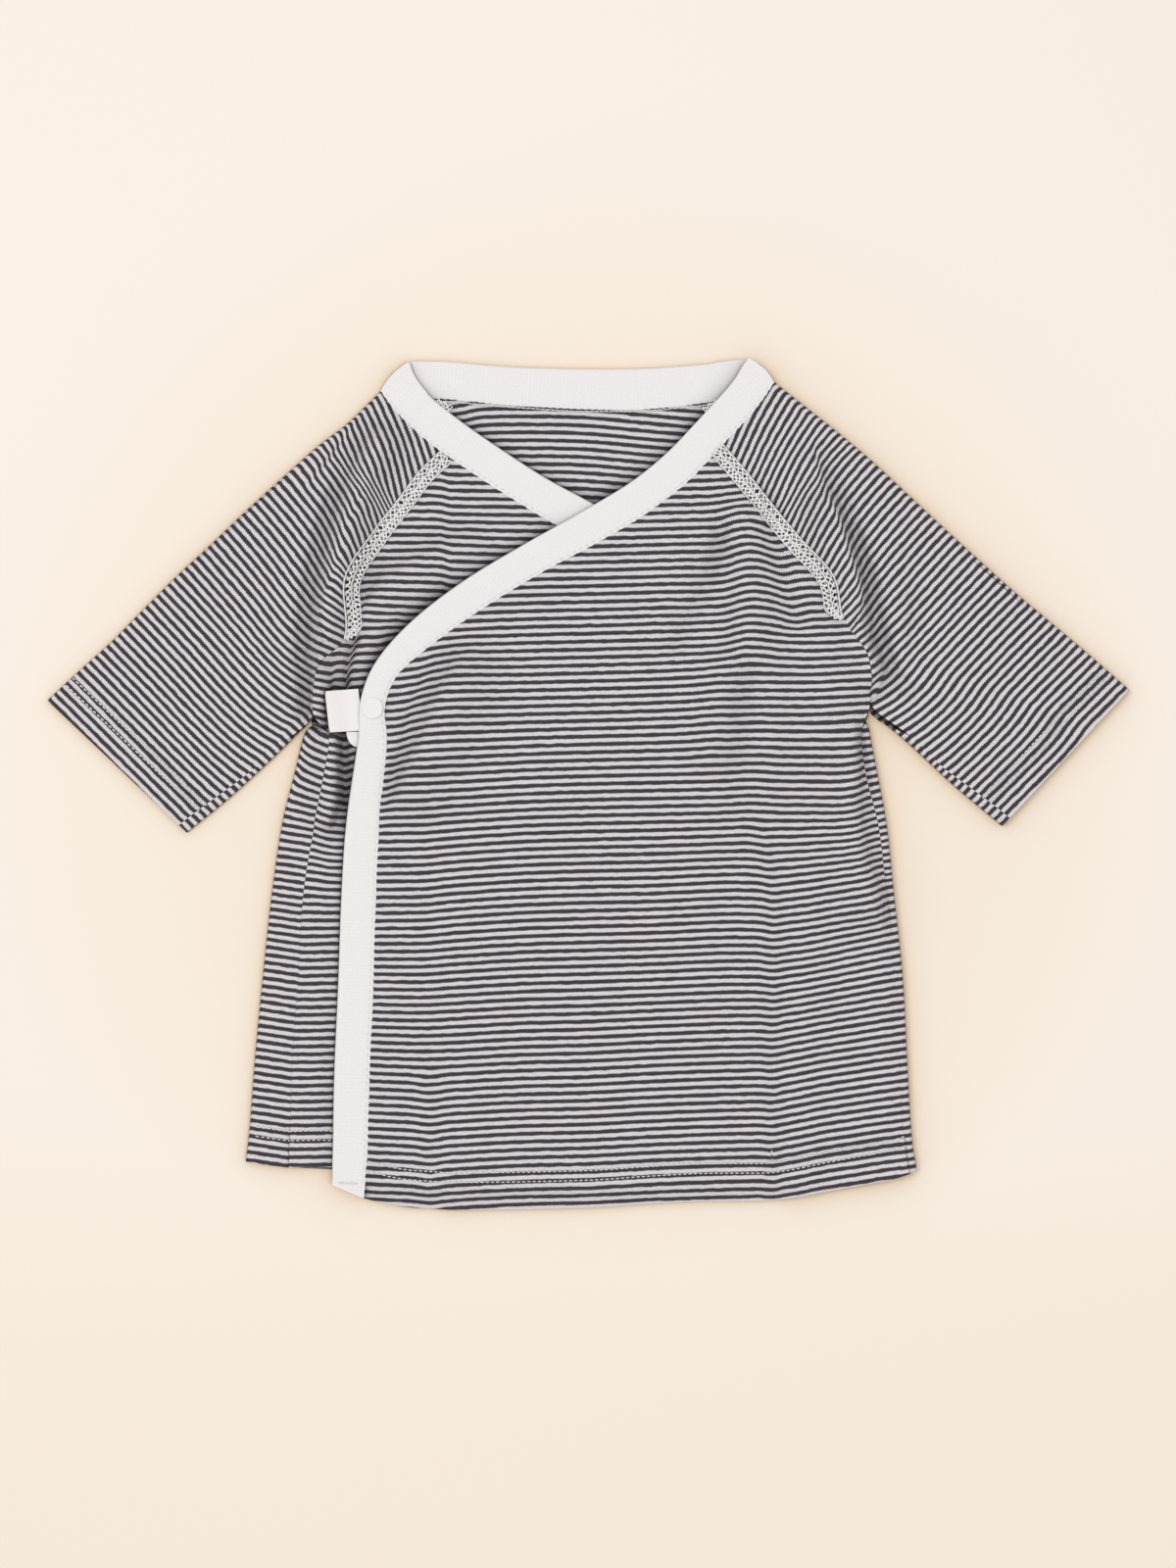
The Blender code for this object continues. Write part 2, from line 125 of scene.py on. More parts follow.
def striped_jersey():
    """Cotton single jersey knitted in two yarn colours: matt, a little fuzzy, with stripes
    whose edges follow the loops, a fine grain of V-shaped stitches, and painted shade in
    its folds and beside raised edges."""
    material, tree = new_look("striped_cotton_jersey")
    mm, part = place_in_cloth(tree)
    wale = add(tree, "ShaderNodeMath", {"operation": "PINGPONG", 1: WALE / 2}, {0: part})
    wander = add(tree, "ShaderNodeTexNoise", {"Scale": 0.3, "Detail": 3, "Roughness": 0.6},
                 {"Vector": mm})
    jag = add(tree, "ShaderNodeMath", {"operation": "MULTIPLY_ADD", 1: STRIPE_JAG},
              {0: wale, 2: part.outputs[1]})
    edge = add(tree, "ShaderNodeMath", {"operation": "MULTIPLY_ADD", 1: STRIPE_WANDER},
               {0: wander, 2: jag})
    wave = add(tree, "ShaderNodeMath", {"operation": "PINGPONG", 1: STRIPE / 2}, {0: edge})
    dark_edge = DARK_SHARE * STRIPE / 2
    light = add(tree, "ShaderNodeMapRange",
                {"interpolation_type": "SMOOTHSTEP", 1: dark_edge - STRIPE_BLUR,
                 2: dark_edge + STRIPE_BLUR}, {0: wave})
    fibre = add(tree, "ShaderNodeTexNoise", {"Scale": 1.6, "Detail": 3}, {"Vector": mm})
    melange = add(tree, "ShaderNodeMapRange", {1: 0.3, 2: 0.7, 3: 0.86, 4: 1.1}, {0: fibre})
    colour = add(tree, "ShaderNodeMix", {"data_type": "RGBA", 6: linear(JERSEY_DARK),
                                         7: linear(JERSEY_LIGHT)}, {0: light})
    shade = add(tree, "ShaderNodeVectorMath", {"operation": "SCALE"},
                {0: colour.outputs[2], "Scale": melange})
    loops = add(tree, "ShaderNodeMath", {"operation": "MULTIPLY_ADD", 1: 1.1},
                {0: wale, 2: part.outputs[1]})
    course = add(tree, "ShaderNodeMath", {"operation": "PINGPONG", 1: COURSE / 2}, {0: loops})
    grain = add(tree, "ShaderNodeMath", {"operation": "MULTIPLY_ADD", 1: 0.8}, {0: wale, 2: course})
    bump = add(tree, "ShaderNodeBump", {"Strength": 0.5, "Distance": 0.25 * MM}, {"Height": grain})
    # Painted shade in the jersey's colour where its folds and the pieces beside it keep light from
    # it.
    add(tree, "Principled BSDF", {"Roughness": 0.92, "Specular IOR Level": 0.2,
                                  "Sheen Weight": 0.12, "Sheen Roughness": 0.5},
        {"Base Color": with_painted_shade(tree, shade, 7, 2.9), "Normal": bump})
    return material


def through(points, steps=None):
    """A smooth line through given points, each stretch cut into its number of steps."""
    line = np.array(points, float)
    steps = steps or [8] * (len(points) - 1)
    line = np.vstack([2 * line[0] - line[1], line, 2 * line[-1] - line[-2]])
    made = []
    for index, count in enumerate(steps):
        before, start, end, after = line[index:index + 4]
        t = np.linspace(0, 1, count, endpoint=False)[:, None]
        made.append(start + (end - before) * t / 2
                    + (before - 2.5 * start + 2 * end - after / 2) * t ** 2
                    + (1.5 * start - before / 2 - 1.5 * end + after / 2) * t ** 3)
    return np.vstack(made + [line[-2:-1]])


def eased(value):
    """From 0 to 1 with a soft start and end."""
    share = np.clip(value, 0, 1)
    return share * share * (3 - 2 * share)


def between(value, start, end):
    """From 0 to 1 with a soft start and end, while the value goes from start to end."""
    return eased((value - start) / (end - start))


Fold = namedtuple("Fold", "path width height drag step wide", defaults=(0.0, 0.0, 0.0, 1.0))
FOLD_FADE = 9.0             # a fold's side effects fade over this distance past its ends


def folded(folds, x, y):
    """What the listed folds do at each point, in mm: height, and how far stripes move up.

    height and drag follow the line; step acts on its right, seen from its start, and its
    left side is wide times as broad as its right.
    """
    height = np.zeros_like(x)
    shift = np.zeros_like(x)
    for fold in folds:
        nearest = np.full_like(x, 1e9)
        aside, passed, beyond = (np.zeros_like(x) for _ in range(3))
        last = len(fold.path) - 2
        for index, ((x0, y0), (x1, y1)) in enumerate(zip(fold.path, fold.path[1:])):
            length = math.hypot(x1 - x0, y1 - y0)
            run_x, run_y = (x1 - x0) / length, (y1 - y0) / length
            along = (x - x0) * run_x + (y - y0) * run_y
            across = (x - x0) * run_y - (y - y0) * run_x
            past = np.maximum(np.maximum(-along, along - length), 0)
            distance = np.hypot(across, past)
            here = distance < nearest
            nearest[here] = distance[here]
            aside[here] = across[here]
            passed[here] = past[here]
            end = np.maximum(-along * (index == 0), (along - length) * (index == last))
            beyond[here] = np.maximum(end, 0)[here]
        spread = fold.width * np.where(aside < 0, fold.wide, 1.0)
        tip = fold.width * (1 + fold.wide) / 2
        near = np.exp(-(aside / spread) ** 2 - (passed / tip) ** 2)
        held = np.exp(-(beyond / FOLD_FADE) ** 2)
        height += fold.height * near
        shift += fold.drag * near
        shift += fold.step * held * (1 + np.tanh(aside / fold.width)) / 2
    return height, shift


def ridden(rows, heights, x, y):
    """How far stripes ride up, smoothly between given stations across and up a piece."""
    dense = through(rows)
    columns = [np.interp(x, dense[:, 0], dense[:, index + 1]) for index in range(len(heights))]
    made = columns[0]
    for index in range(1, len(heights)):
        share = between(y, heights[index - 1], heights[index])
        made = made * (1 - share) + columns[index] * share
    return made


def unit(vectors):
    """The same directions, each one long."""
    return vectors / np.linalg.norm(vectors, axis=1, keepdims=True)


def cloth(name, grid, stripes, wall, material):
    """A closed thin wall on a grid of points, with a map of where each is in the cloth."""
    rows, columns = grid.shape[:2]
    count = rows * columns
    run = np.gradient(grid, axis=1)
    rise = np.gradient(grid, axis=0)
    normal = np.cross(run, rise)
    normal /= np.maximum(np.linalg.norm(normal, axis=2, keepdims=True), 1e-9)
    outer = (grid + normal * wall / 2).reshape(-1, 3)
    inner = (grid - normal * wall / 2).reshape(-1, 3)
    index = np.arange(count).reshape(rows, columns)
    quads = np.stack([index[:-1, :-1], index[:-1, 1:], index[1:, 1:], index[1:, :-1]], -1)
    quads = quads.reshape(-1, 4)
    rim = np.concatenate([index[0], index[1:, -1], index[-1, -2::-1], index[-2:0:-1, 0]])
    after = np.roll(rim, -1)
    edge = np.stack([rim + count, after + count, after, rim], -1)
    faces = np.concatenate([quads, quads[:, ::-1] + count, edge])
    length = np.linalg.norm(np.diff(grid, axis=1), axis=2)
    across = np.concatenate([np.zeros((rows, 1)), np.cumsum(length, axis=1)], axis=1)
    across -= across[:, columns // 2, None]
    cloth_map = np.stack([across, stripes], -1).reshape(-1, 2)
    return finished(name, np.concatenate([outer, inner]), faces.tolist(),
                    np.concatenate([cloth_map, cloth_map]), material)


def finished(name, points, faces, cloth_map, material):
    """A named piece at the origin from points and a map in mm, smooth but for its edges."""
    data = bpy.data.meshes.new(name)
    data.from_pydata((points * MM).tolist(), [], faces)
    layer = data.uv_layers.new(name="cloth")
    corners = np.zeros(len(data.loops), np.int32)
    data.loops.foreach_get("vertex_index", corners)
    layer.data.foreach_set("uv", (cloth_map[corners] * MM).astype(np.float32).ravel())
    data.polygons.foreach_set("use_smooth", [True] * len(data.polygons))
    data.set_sharp_from_angle(angle=math.radians(50))
    data.materials.append(material)
    piece = bpy.data.objects.new(name, data)
    bpy.context.scene.collection.objects.link(piece)
    return piece


def on_frame(piece, slot, *nodes):
    """The piece stands for these nodes of the frame, which it hides, on the frame's root; the slot
    is not used.
    """
    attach(piece, "root")
    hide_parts(*nodes)


JERSEY_DARK = "#403B41"
JERSEY_LIGHT = "#DDD8DC"
JERSEY = striped_jersey()

# Hem to underarm: where the back turns up to the front, and how far it then reaches.
Body = namedtuple("Body", "left_x left_y left_lip right_x right_y right_lip")
BODY = [Body(*row) for row in (
    (-126, -139.3, 16, 121, -142.5, 3), (-124.5, -126, 15, 119, -129, 3),
    (-122.5, -100, 14, 117.4, -101, 3), (-119.6, -70, 13.2, 115.8, -71, 3),
    (-116.3, -40, 11.7, 112.6, -41, 3), (-112.6, -15, 12.2, 110, -16, 3.3),
    (-108.2, 3, 11.4, 106.6, 3, 4.6), (-104.6, 17.6, 9.6, 103.6, 19, 3.4))]
# Underarm to neck: each cut from the shoulder fold to the raglan seams.
Armhole = namedtuple("Armhole", "shoulder_x shoulder_y front_x front_y back_x back_y")
ARMHOLE_RIGHT = [Armhole(*row) for row in (
    (-165, 62.6, -100.6, 25.5, -101.4, 24.5), (-152, 75.6, -98.9, 42, -98, 41),
    (-139.5, 87.2, -89.5, 54, -92, 58.5), (-126, 100.1, -89.4, 75.2, -87, 76),
    (-112.5, 112.4, -79.2, 92.4, -79.5, 93.5), (-99.5, 123.9, -70.4, 104, -71.5, 110),
    (-88.5, 132.3, -62.4, 114.6, -63.5, 126), (-76.5, 144, -54.9, 121.9, -55.5, 141))]
ARMHOLE_LEFT = [Armhole(*row) for row in (
    (157, 70.3, 103.6, 29.5, 103.2, 27), (143.5, 82.4, 102.6, 46, 99, 44),
    (130.5, 94.3, 93.9, 60, 93.5, 60), (117.5, 106.4, 90.2, 76, 87, 76),
    (104.5, 118.5, 77.6, 90.7, 77, 93), (92, 129, 67.6, 102.8, 67, 109),
    (80, 138.5, 59, 113.8, 57, 124), (68.5, 147.5, 49.8, 124.6, 47.5, 141))]
# How many rows of points stand between one row of these tables and the next.
STEPS = (14, 16, 18, 18, 15, 12, 10, 6, 12, 10, 12, 12, 12, 10, 10)
SIDE_SEAM_RIGHT = [(row.left_x + row.left_lip, row.left_y) for row in BODY]
SIDE_SEAM_LEFT = [(row.right_x - row.right_lip, row.right_y) for row in BODY]
FRONT_SEAM_RIGHT, FRONT_SEAM_LEFT = (
    through(side + [(row.front_x, row.front_y) for row in armhole], STEPS)
    for side, armhole in ((SIDE_SEAM_RIGHT, ARMHOLE_RIGHT), (SIDE_SEAM_LEFT, ARMHOLE_LEFT)))
# The edge that the binding is folded round: x, y and the band's width outside it.
EDGE_BACK_ROWS = (
    (-67, 142.6, 13), (-60, 141.7, 13.8), (-50, 141.1, 14), (-30, 139.2, 14.2), (-5, 137.6, 15),
    (20, 137.5, 15.2), (43, 139.8, 14.5), (52, 142.2, 13.6), (57.5, 144, 12.5), (62, 145.4, 11))
NECK_SAG = -2.4             # the cut edge dips this much in the middle of the neck
# A SPAN, ACROSS or UP of an effect says where it starts and where it is whole.
NECK_RISE = 0.8             # the cloth rises a little inside the neck
NECK_RISE_SPAN = (96, 110)
RISE_FADE = 5.0             # and comes down again over this much below the band
NECK_RUN = 1.5              # and runs into the band folded round its edge
HEM_ROWS = 4                # a hem's curve fades out over the lowest rows of the table
HEM_POWER = 1.5             # and the faster, the higher
HEM_BACK = ((-127, -139.2), (-110, -141.4), (-60, -143.5), (0, -145), (60, -145), (122, -142.4))
CORNER_LEFT = 0.12          # how steeply the hem runs on from each side fold
CORNER_RIGHT = 0.33
TURN_COLUMNS = 7
LIP_COLUMNS = 9
LEAST_STRIP = 0.3           # the strip in front reaches at least this far past the fold
FLAT_SIDE = 4.0             # above the underarm, its points lie flat over this much
BACK_COLUMNS = 92
SIDE_LEAN = 0.15            # stripes fall away from the side fold on the strip in front
ARM_LEAN = 0.17             # and more so below the arm
ARM_LEAN_SPAN = (-25, 5)
ARM_TURN = 2.6              # where they also turn up sharply at the very fold
ARM_TURN_REACH = 2.4
ARM_TURN_SPAN = (-10, 6)
BACK_PHASE = 0.05           # where the first stripe starts
NECK_RIDE_SPAN = (60, 100)
NECK_SHIFT = 1.7            # all the back's stripes ride up by this much inside the neck
# How the back's stripes curve across the inside of the neck: station, then rise.
NECK_RIDE = (
    (-70, -3.5), (-50, -2.2), (-40, -0.4), (-30, 0), (-20, 0), (-10, -0.1), (0, -0.5), (10, -1.3),
    (20, -2.3), (38, -3.9), (70, -6.5))
SIDE_MISMATCH = 1.3         # stripes miss each other where the left side seam shows
SIDE_MISMATCH_SPAN = (-38, -30)
BEHIND_PHASE = 0.18         # brings the back's stripes in line with the left front's
BEHIND_ACROSS = (0, 40)     # the back shares the left front's ride from here out
BEHIND_UP = (50, 20)
NECK_FOLD = Fold(((17, 107), (28, 116), (38, 125.5)), 5, height=1.2)
NECK_FOLD_SPAN = (134, 124)
STRIP_FOLD = Fold(((-96, -13), (-94.2, -6), (-94, 16)), 2.2, height=4.4, wide=2.6)
LOW_RIDE = 1.65             # stripes ride up on the strip in front, below the waist
LOW_RIDE_SPAN = (-22, -72)
# How far the stripes of the left front, and of the back behind it, ride up: the station
# across the piece, then the ride at the hem, low waist, waist, armhole and chest.
RIDE_OVER_AT = (-110, -40, -5, 35, 75)
RIDE_OVER = (
    (-84, -1.3, -4, -4, -5, -5), (-72, -1.9, -3.8, -3.5, -4, -4),
    (-60, -2.2, -3.6, -3.2, -2.6, -2.5), (-48, -1.8, -2.4, -2.3, -1.5, -1.5),
    (-24, -0.6, -0.8, -0.8, -0.6, -0.5), (0, 0, 0, 0, 0, 0), (24, 1.3, 0.5, 0.5, 0.7, 0.6),
    (48, 2.2, 1.6, 1, 1.8, 1.2), (60, 2.5, 1.6, 1.6, 2.4, 2.4), (72, 3.2, 1.2, 1, 2.4, 2.6),
    (84, 5.5, 2.8, 1.2, 2.5, 2.4), (96, 7.3, 5.5, 2.2, 3.2, 2.6), (110, 9.5, 8.6, 5.5, 4, 3),
    (122, 11, 10.5, 8, 5, 3))


def row_places(steps):
    """Where each row of points is in the table of listed rows."""
    return np.concatenate([index + np.arange(count) / count
                           for index, count in enumerate(steps)] + [[len(steps)]])


BODY_ROW = row_places(STEPS)
AT_HEM = np.maximum(1 - BODY_ROW / HEM_ROWS, 0)[:, None] ** HEM_POWER


def hemmed(x, y, hem):
    """Rows of points with the first on the hem's curve and the next ones easing off it."""
    curve = through(hem)
    drop = np.interp(x[0], curve[:, 0], curve[:, 1]) - y[0]
    return y + AT_HEM * drop


def turned_side(edge, inward, lip, share, z_high):
    """Stations of a side from the end of its lip, round the fold, to the flat back.

    Where share falls to 0, above the underarm, they lie flat at the edge instead.
    """
    radius = (z_high - Z_BACK) / 2
    start = radius + WALL / 2
    angles = np.linspace(0, math.pi, TURN_COLUMNS)
    over = np.linspace(0, 1, LIP_COLUMNS, endpoint=False)
    reach = np.maximum(lip, start + LEAST_STRIP)[:, None]
    inwards = np.concatenate([
        reach + (start - reach) * over,
        np.broadcast_to(start - radius * np.sin(angles), (len(lip), TURN_COLUMNS))], axis=1)
    heights = np.concatenate([
        np.full(LIP_COLUMNS, z_high), (z_high + Z_BACK) / 2 + radius * np.cos(angles)])
    flat = np.linspace(SEAM, FLAT_SIDE, LIP_COLUMNS + TURN_COLUMNS)
    share = share[:, None]
    inwards = inwards * share + flat * (1 - share)
    heights = heights * share + Z_BACK * (1 - share)
    points = edge[:, None, :] + inward[:, None, :] * inwards[..., None]
    return np.concatenate([points, heights[..., None]], axis=2)


left_edge = through([(row.left_x, row.left_y, row.left_lip) for row in BODY]
                    + [(row.back_x, row.back_y, 0.0) for row in ARMHOLE_RIGHT], STEPS)
right_edge = through([(row.right_x, row.right_y, row.right_lip) for row in BODY]
                     + [(row.back_x, row.back_y, 0.0) for row in ARMHOLE_LEFT], STEPS)
inward = unit(right_edge[:, :2] - left_edge[:, :2])
turned = eased(len(BODY) - BODY_ROW)
left_side = turned_side(left_edge[:, :2], inward, left_edge[:, 2] - SEAM, turned, Z_UNDER)
right_side = turned_side(right_edge[:, :2], -inward, right_edge[:, 2] - SEAM, turned,
                         Z_OVER)[:, ::-1]
left_side[:, :LIP_COLUMNS, 1] -= CORNER_LEFT * AT_HEM * (
    left_side[:, :LIP_COLUMNS, 0] - left_edge[:, 0, None])
right_side[:, -LIP_COLUMNS:, 1] -= CORNER_RIGHT * AT_HEM * (
    right_edge[:, 0, None] - right_side[:, -LIP_COLUMNS:, 0])
share = np.linspace(0, 1, BACK_COLUMNS)[None, 1:-1, None]
flat_back = left_side[:, -1:] * (1 - share) + right_side[:, :1] * share
flat_back[..., 1] = hemmed(flat_back[..., 0], flat_back[..., 1], HEM_BACK)
neck = NECK_SAG * eased(np.linspace(0, 1, STEPS[-1]))[:, None]
flat_back[-STEPS[-1]:, :, 1] += neck * (4 * share * (1 - share))[..., 0]
back_grid = np.concatenate([left_side, flat_back, right_side], axis=1)
back_grid[-STEPS[-1]:, :, 1] -= neck * NECK_RUN / abs(NECK_SAG)
x, y, z = np.moveaxis(back_grid, 2, 0)
in_front = eased((z - Z_BACK) / (Z_UNDER - Z_BACK))
on_strip = in_front * (x < 0)
lean = SIDE_LEAN + ARM_LEAN * between(y, *ARM_LEAN_SPAN)
inside = x - left_edge[:, 0, None]
back_stripes = y - BACK_PHASE + lean * inside * on_strip
back_stripes -= ARM_TURN * np.exp(-np.maximum(inside, 0) / ARM_TURN_REACH) * (
    on_strip * between(y, *ARM_TURN_SPAN))
back_stripes -= LOW_RIDE * between(y, *LOW_RIDE_SPAN) * on_strip
neck_ride = through(NECK_RIDE)
back_stripes -= (np.interp(x, neck_ride[:, 0], neck_ride[:, 1]) + NECK_SHIFT) * (
    between(y, *NECK_RIDE_SPAN))
back_stripes -= (ridden(RIDE_OVER, RIDE_OVER_AT, x, y) + BEHIND_PHASE) * (
    between(x, *BEHIND_ACROSS) * between(y, *BEHIND_UP))
back_stripes += SIDE_MISMATCH * in_front * (x > 0) * between(y, *SIDE_MISMATCH_SPAN)
neck_edge = through(EDGE_BACK_ROWS)
below_band = np.interp(x, neck_edge[:, 0], neck_edge[:, 1]) - y
back_grid[..., 2] += NECK_RISE * between(y, *NECK_RISE_SPAN) * eased(below_band / RISE_FADE)
back_grid[..., 2] += folded((STRIP_FOLD,), x, y)[0] * on_strip
back_grid[..., 2] += folded((NECK_FOLD,), x, y)[0] * between(y, *NECK_FOLD_SPAN)
back_panel = cloth("jersey_back", back_grid, back_stripes, WALL, JERSEY)
on_frame(back_panel, "striped_jersey", "back_panel")

# ================================================================= right front
# The wearer's right front: the same jersey, joined to the back at the side seam.
# It crosses below the other front, so only its strip at the side and its neck corner show.
UNDER_COLUMNS = 110
UNDER_DENSE = 1.5           # they stand closer towards the strip that shows
HEM_DEPTH = 15.0            # turned up inside and sewn with two needles
HEM_THICK = 0.35            # the cloth stands this much higher over it
HEM_STEP = 2.0              # the cloth steps down past the hem over this much
UNDER_RISE = 0.9            # it comes up a little under the wrap edge
UNDER_RISE_ACROSS = (-98, -92)
UNDER_RISE_UP = (-14, -26)
UNDER_PHASE = 0.1
EDGE_UNDER_ROWS = (
    (70, -146.5, 12.5), (70.2, -134, 12.5), (70.6, -106, 13), (71, -74, 13.2), (72, -41, 13.2),
    (73, -15, 12.4), (74, 4, 11.6), (74, 22, 11), (70, 39, 12.2), (57.5, 50.8, 13.2),
    (38.5, 63.8, 13.6), (17.5, 76.6, 13.8), (-3, 89.6, 13.8), (-21.8, 100.7, 13.1),
    (-39.6, 112, 13.2), (-54.1, 122, 13.3), (-65.9, 131, 13.6), (-71.3, 137.2, 13.6),
    (-74.1, 140.9, 13.9), (-76.4, 144.5, 14.7))
EDGE_STEPS = STEPS + (8, 6, 4, 4)       # the bindings' edges run on past the fronts
HEM_UNDER = ((-112, -141.4), (-93, -141.2), (-60, -144), (0, -147), (74, -147))
FOLDS_UNDER = (
    Fold(((-53, 120), (-52, 72)), 1.6, step=1),
    Fold(((-89, 33), (-88.2, 42), (-86.8, 48), (-84.8, 56)), 0.5, step=2.9),
    Fold(((-89, 32), (-88.3, 42), (-87, 48), (-85.4, 53)), 1.2, height=-1.3, drag=-0.8),
    Fold(((-91.8, 40), (-90.6, 47)), 2.2, height=0.8),
    Fold(((-94, 38), (-95, 33)), 0.7, height=-0.7, step=-1.2),
    Fold(((-90, 20), (-89.4, 8), (-88.8, -8)), 2.2, height=-1.3, drag=-0.8),
    Fold(((-46, 88), (-60, 81), (-72, 73), (-80, 62)), 4.4, height=4.2, wide=2),
    Fold(((-52, 69.5), (-63, 61.5), (-72, 53), (-78, 43)), 3.4, height=-1.1),
)
# The fold that runs down beside the raglan seam, and the bulge below it: they lift the
# front and the sleeve alike.
CREST_RIGHT = (
    Fold(((-77, 124), (-83, 112), (-87, 99), (-90.5, 87), (-93, 77), (-95.3, 66), (-96.5, 55),
         (-98, 47)), 4.5, height=9, wide=1.7),
    Fold(((-98, 44), (-99.2, 36), (-100.2, 25)), 2.4, height=4.2, wide=1.9),
)
UNDERARM_DROP = 1.1         # stripes sit lower on the strip below the arm
UNDERARM_ACROSS = (-70, -78)
UNDERARM_UP = ((68, 52), (-34, -22))
# Station across the piece, then the ride at the hem, below the waist, at the underarm and
# at the neck corner.
RIDE_UNDER_AT = (-110, -60, -5, 80)
RIDE_UNDER = (
    (-112, -0.4, -0.7, 2, 0.6), (-102, -0.4, -0.7, 0.6, 0.6), (-90, -0.1, -0.4, -2.5, 0.6),
    (-60, 0, 0, 0, 0.6), (0, 0, 0, 0, 0), (80, 0, 0, 0, 0))


def front_grid(left, right, columns, hem, dense=1.0):
    """Points of a front between its two edges, its lowest row on the hem's curve."""
    share = np.linspace(0, 1, columns)[None, :, None] ** dense
    flat = left[:, None, :2] * (1 - share) + right[:, None, :2] * share
    return flat[..., 0], hemmed(flat[..., 0], flat[..., 1], hem)


def above_hem(x, y):
    """How far each point is above the first row, measured along the cloth."""
    length = np.hypot(np.diff(x, axis=0), np.diff(y, axis=0))
    return np.concatenate([np.zeros((1, x.shape[1])), np.cumsum(length, axis=0)])


def to_left(line):
    """The directions along an open line and to its left, at each of its points."""
    along = unit(np.gradient(line[:, :2], axis=0))
    return along, np.stack([-along[:, 1], along[:, 0]], -1)


def sideways(line, distance):
    """An open line moved to its left by a distance."""
    return line[:, :2] + to_left(line)[1] * distance


edge_under = through(EDGE_UNDER_ROWS, EDGE_STEPS)
rows_of_front = len(BODY_ROW)
x, y = front_grid(sideways(FRONT_SEAM_RIGHT, -SEAM),
                  sideways(edge_under, -INTO_BAND)[:rows_of_front], UNDER_COLUMNS,
                  HEM_UNDER, UNDER_DENSE)
height, shift = folded((STRIP_FOLD,) + FOLDS_UNDER + CREST_RIGHT, x, y)
height += HEM_THICK * eased((HEM_DEPTH - above_hem(x, y)) / HEM_STEP)
height += UNDER_RISE * between(x, *UNDER_RISE_ACROSS) * between(y, *UNDER_RISE_UP)
under_stripes = y - ridden(RIDE_UNDER, RIDE_UNDER_AT, x, y) - shift - UNDER_PHASE
under_stripes += UNDERARM_DROP * between(x, *UNDERARM_ACROSS) * (
    between(y, *UNDERARM_UP[0]) * between(y, *UNDERARM_UP[1]))
under_grid = np.stack([x, y, Z_UNDER + height], -1)
front_under = cloth("jersey_right_front", under_grid, under_stripes, WALL, JERSEY)
on_frame(front_under, "striped_jersey", "front_under")

# ================================================================= left front
# The wearer's left front: the same jersey, on top, from the wrap edge to the far side.
# It carries the soft folds of a garment laid out by hand; its stripes bend with them.
OVER_COLUMNS = 132
HEM_OVER = (
    (-84, -152.2), (-72, -155.2), (-60, -156.5), (-40, -157), (0, -156.2), (20, -154.9),
    (40, -153.8), (56, -153.6), (68, -153.5), (76, -152.1), (84, -150.5), (100, -147.6),
    (112, -145.4), (121, -142.6))
EDGE_OVER_ROWS = (
    (-82.3, -152.5, 12.2), (-81, -137, 12.8), (-80.1, -107, 13.1), (-78.8, -75, 13),
    (-77.8, -42, 12.8), (-76.5, -15, 12.3), (-73.9, 14, 10.8), (-74.5, 28, 9.4), (-69.8, 39.7, 9.5),
    (-57, 51, 11.6), (-38.2, 64.3, 12.5), (-17.1, 77.2, 12.3), (3.6, 88.3, 12.8), (22.7, 99.6, 13),
    (37.3, 111.2, 13.1), (49.1, 123.8, 12.8), (58.8, 134, 13), (63.5, 139.8, 12.9),
    (66.3, 143.8, 13.1), (68.4, 147.3, 12.7))
FOLDS_OVER = (
    Fold(((55, 97), (58, 82), (59, 66), (58, 48)), 6, height=5, drag=1.3, wide=1.6),
    Fold(((33, 50), (43, 70), (49, 90), (54, 101)), 3.2, height=-1.1),
    Fold(((26, 56), (35, 74), (41, 92)), 4, height=1.6, wide=2.5),
    Fold(((49, 40), (45, 10)), 6, height=2.6, drag=0.4),
    Fold(((58, 42), (56, 20), (54, 2), (57, -14)), 4.5, height=-1),
    Fold(((68, 40), (66, 4)), 6, height=2.2),
    Fold(((67, 92), (70.5, 78), (76, 60)), 4.6, height=-1.1, drag=-1.4),
    Fold(((64, -18), (68, -40), (68, -75), (68, -156)), 3.6, height=-0.8, drag=-0.7),
    Fold(((78, -14), (80, -70), (79, -152)), 7, height=1.9),
    Fold(((-58, -110), (-58, -158)), 5, height=-0.5, drag=-0.9),
    Fold(((-47, -92), (-48, -156)), 6, height=0.9),
    Fold(((-47.5, 40), (-54, 28), (-58.4, 15), (-64.5, 0)), 4.4, height=7.4, drag=0.5, wide=3.4),
    Fold(((-60, 40), (-66, 26), (-68.5, 12), (-72, -2)), 2.2, height=-0.6, step=-1.2),
    Fold(((104, -44), (98.5, -26), (96, -8), (96.5, 6), (98, 16)), 4, height=5.6, drag=-0.9,
         wide=3),
    Fold(((112, -120), (109.5, -70), (104, -36)), 3, height=1, wide=3),
    Fold(((-10, 40), (-4, -60)), 16, height=0.5),
    Fold(((30, 10), (26, -120)), 14, height=0.6),
)
CREST_LEFT = (
    Fold(((104.5, 42), (100, 52), (98.6, 62), (98, 70), (95.5, 80), (91.6, 92), (88.5, 100)), 3.4,
         height=6.2, wide=2.6),
    Fold(((88.5, 100), (86, 107), (82, 117)), 3.2, height=2.8, wide=2),
)
SIDE_CLOSE = 3.5            # folds ease off over this much of the cloth beside the side fold
SIDE_CLOSE_UP = (29, 22)
OVER_PHASE = 0.23
HEM_DROOP = 3.1             # past the layers below, the hem comes down to the table
HEM_DROOP_UP = (-146, -154)
HEM_DROOP_ACROSS = (118, 98)
edge_over = through(EDGE_OVER_ROWS, EDGE_STEPS)
x, y = front_grid(sideways(edge_over, INTO_BAND)[:rows_of_front],
                  sideways(FRONT_SEAM_LEFT, SEAM), OVER_COLUMNS, HEM_OVER)
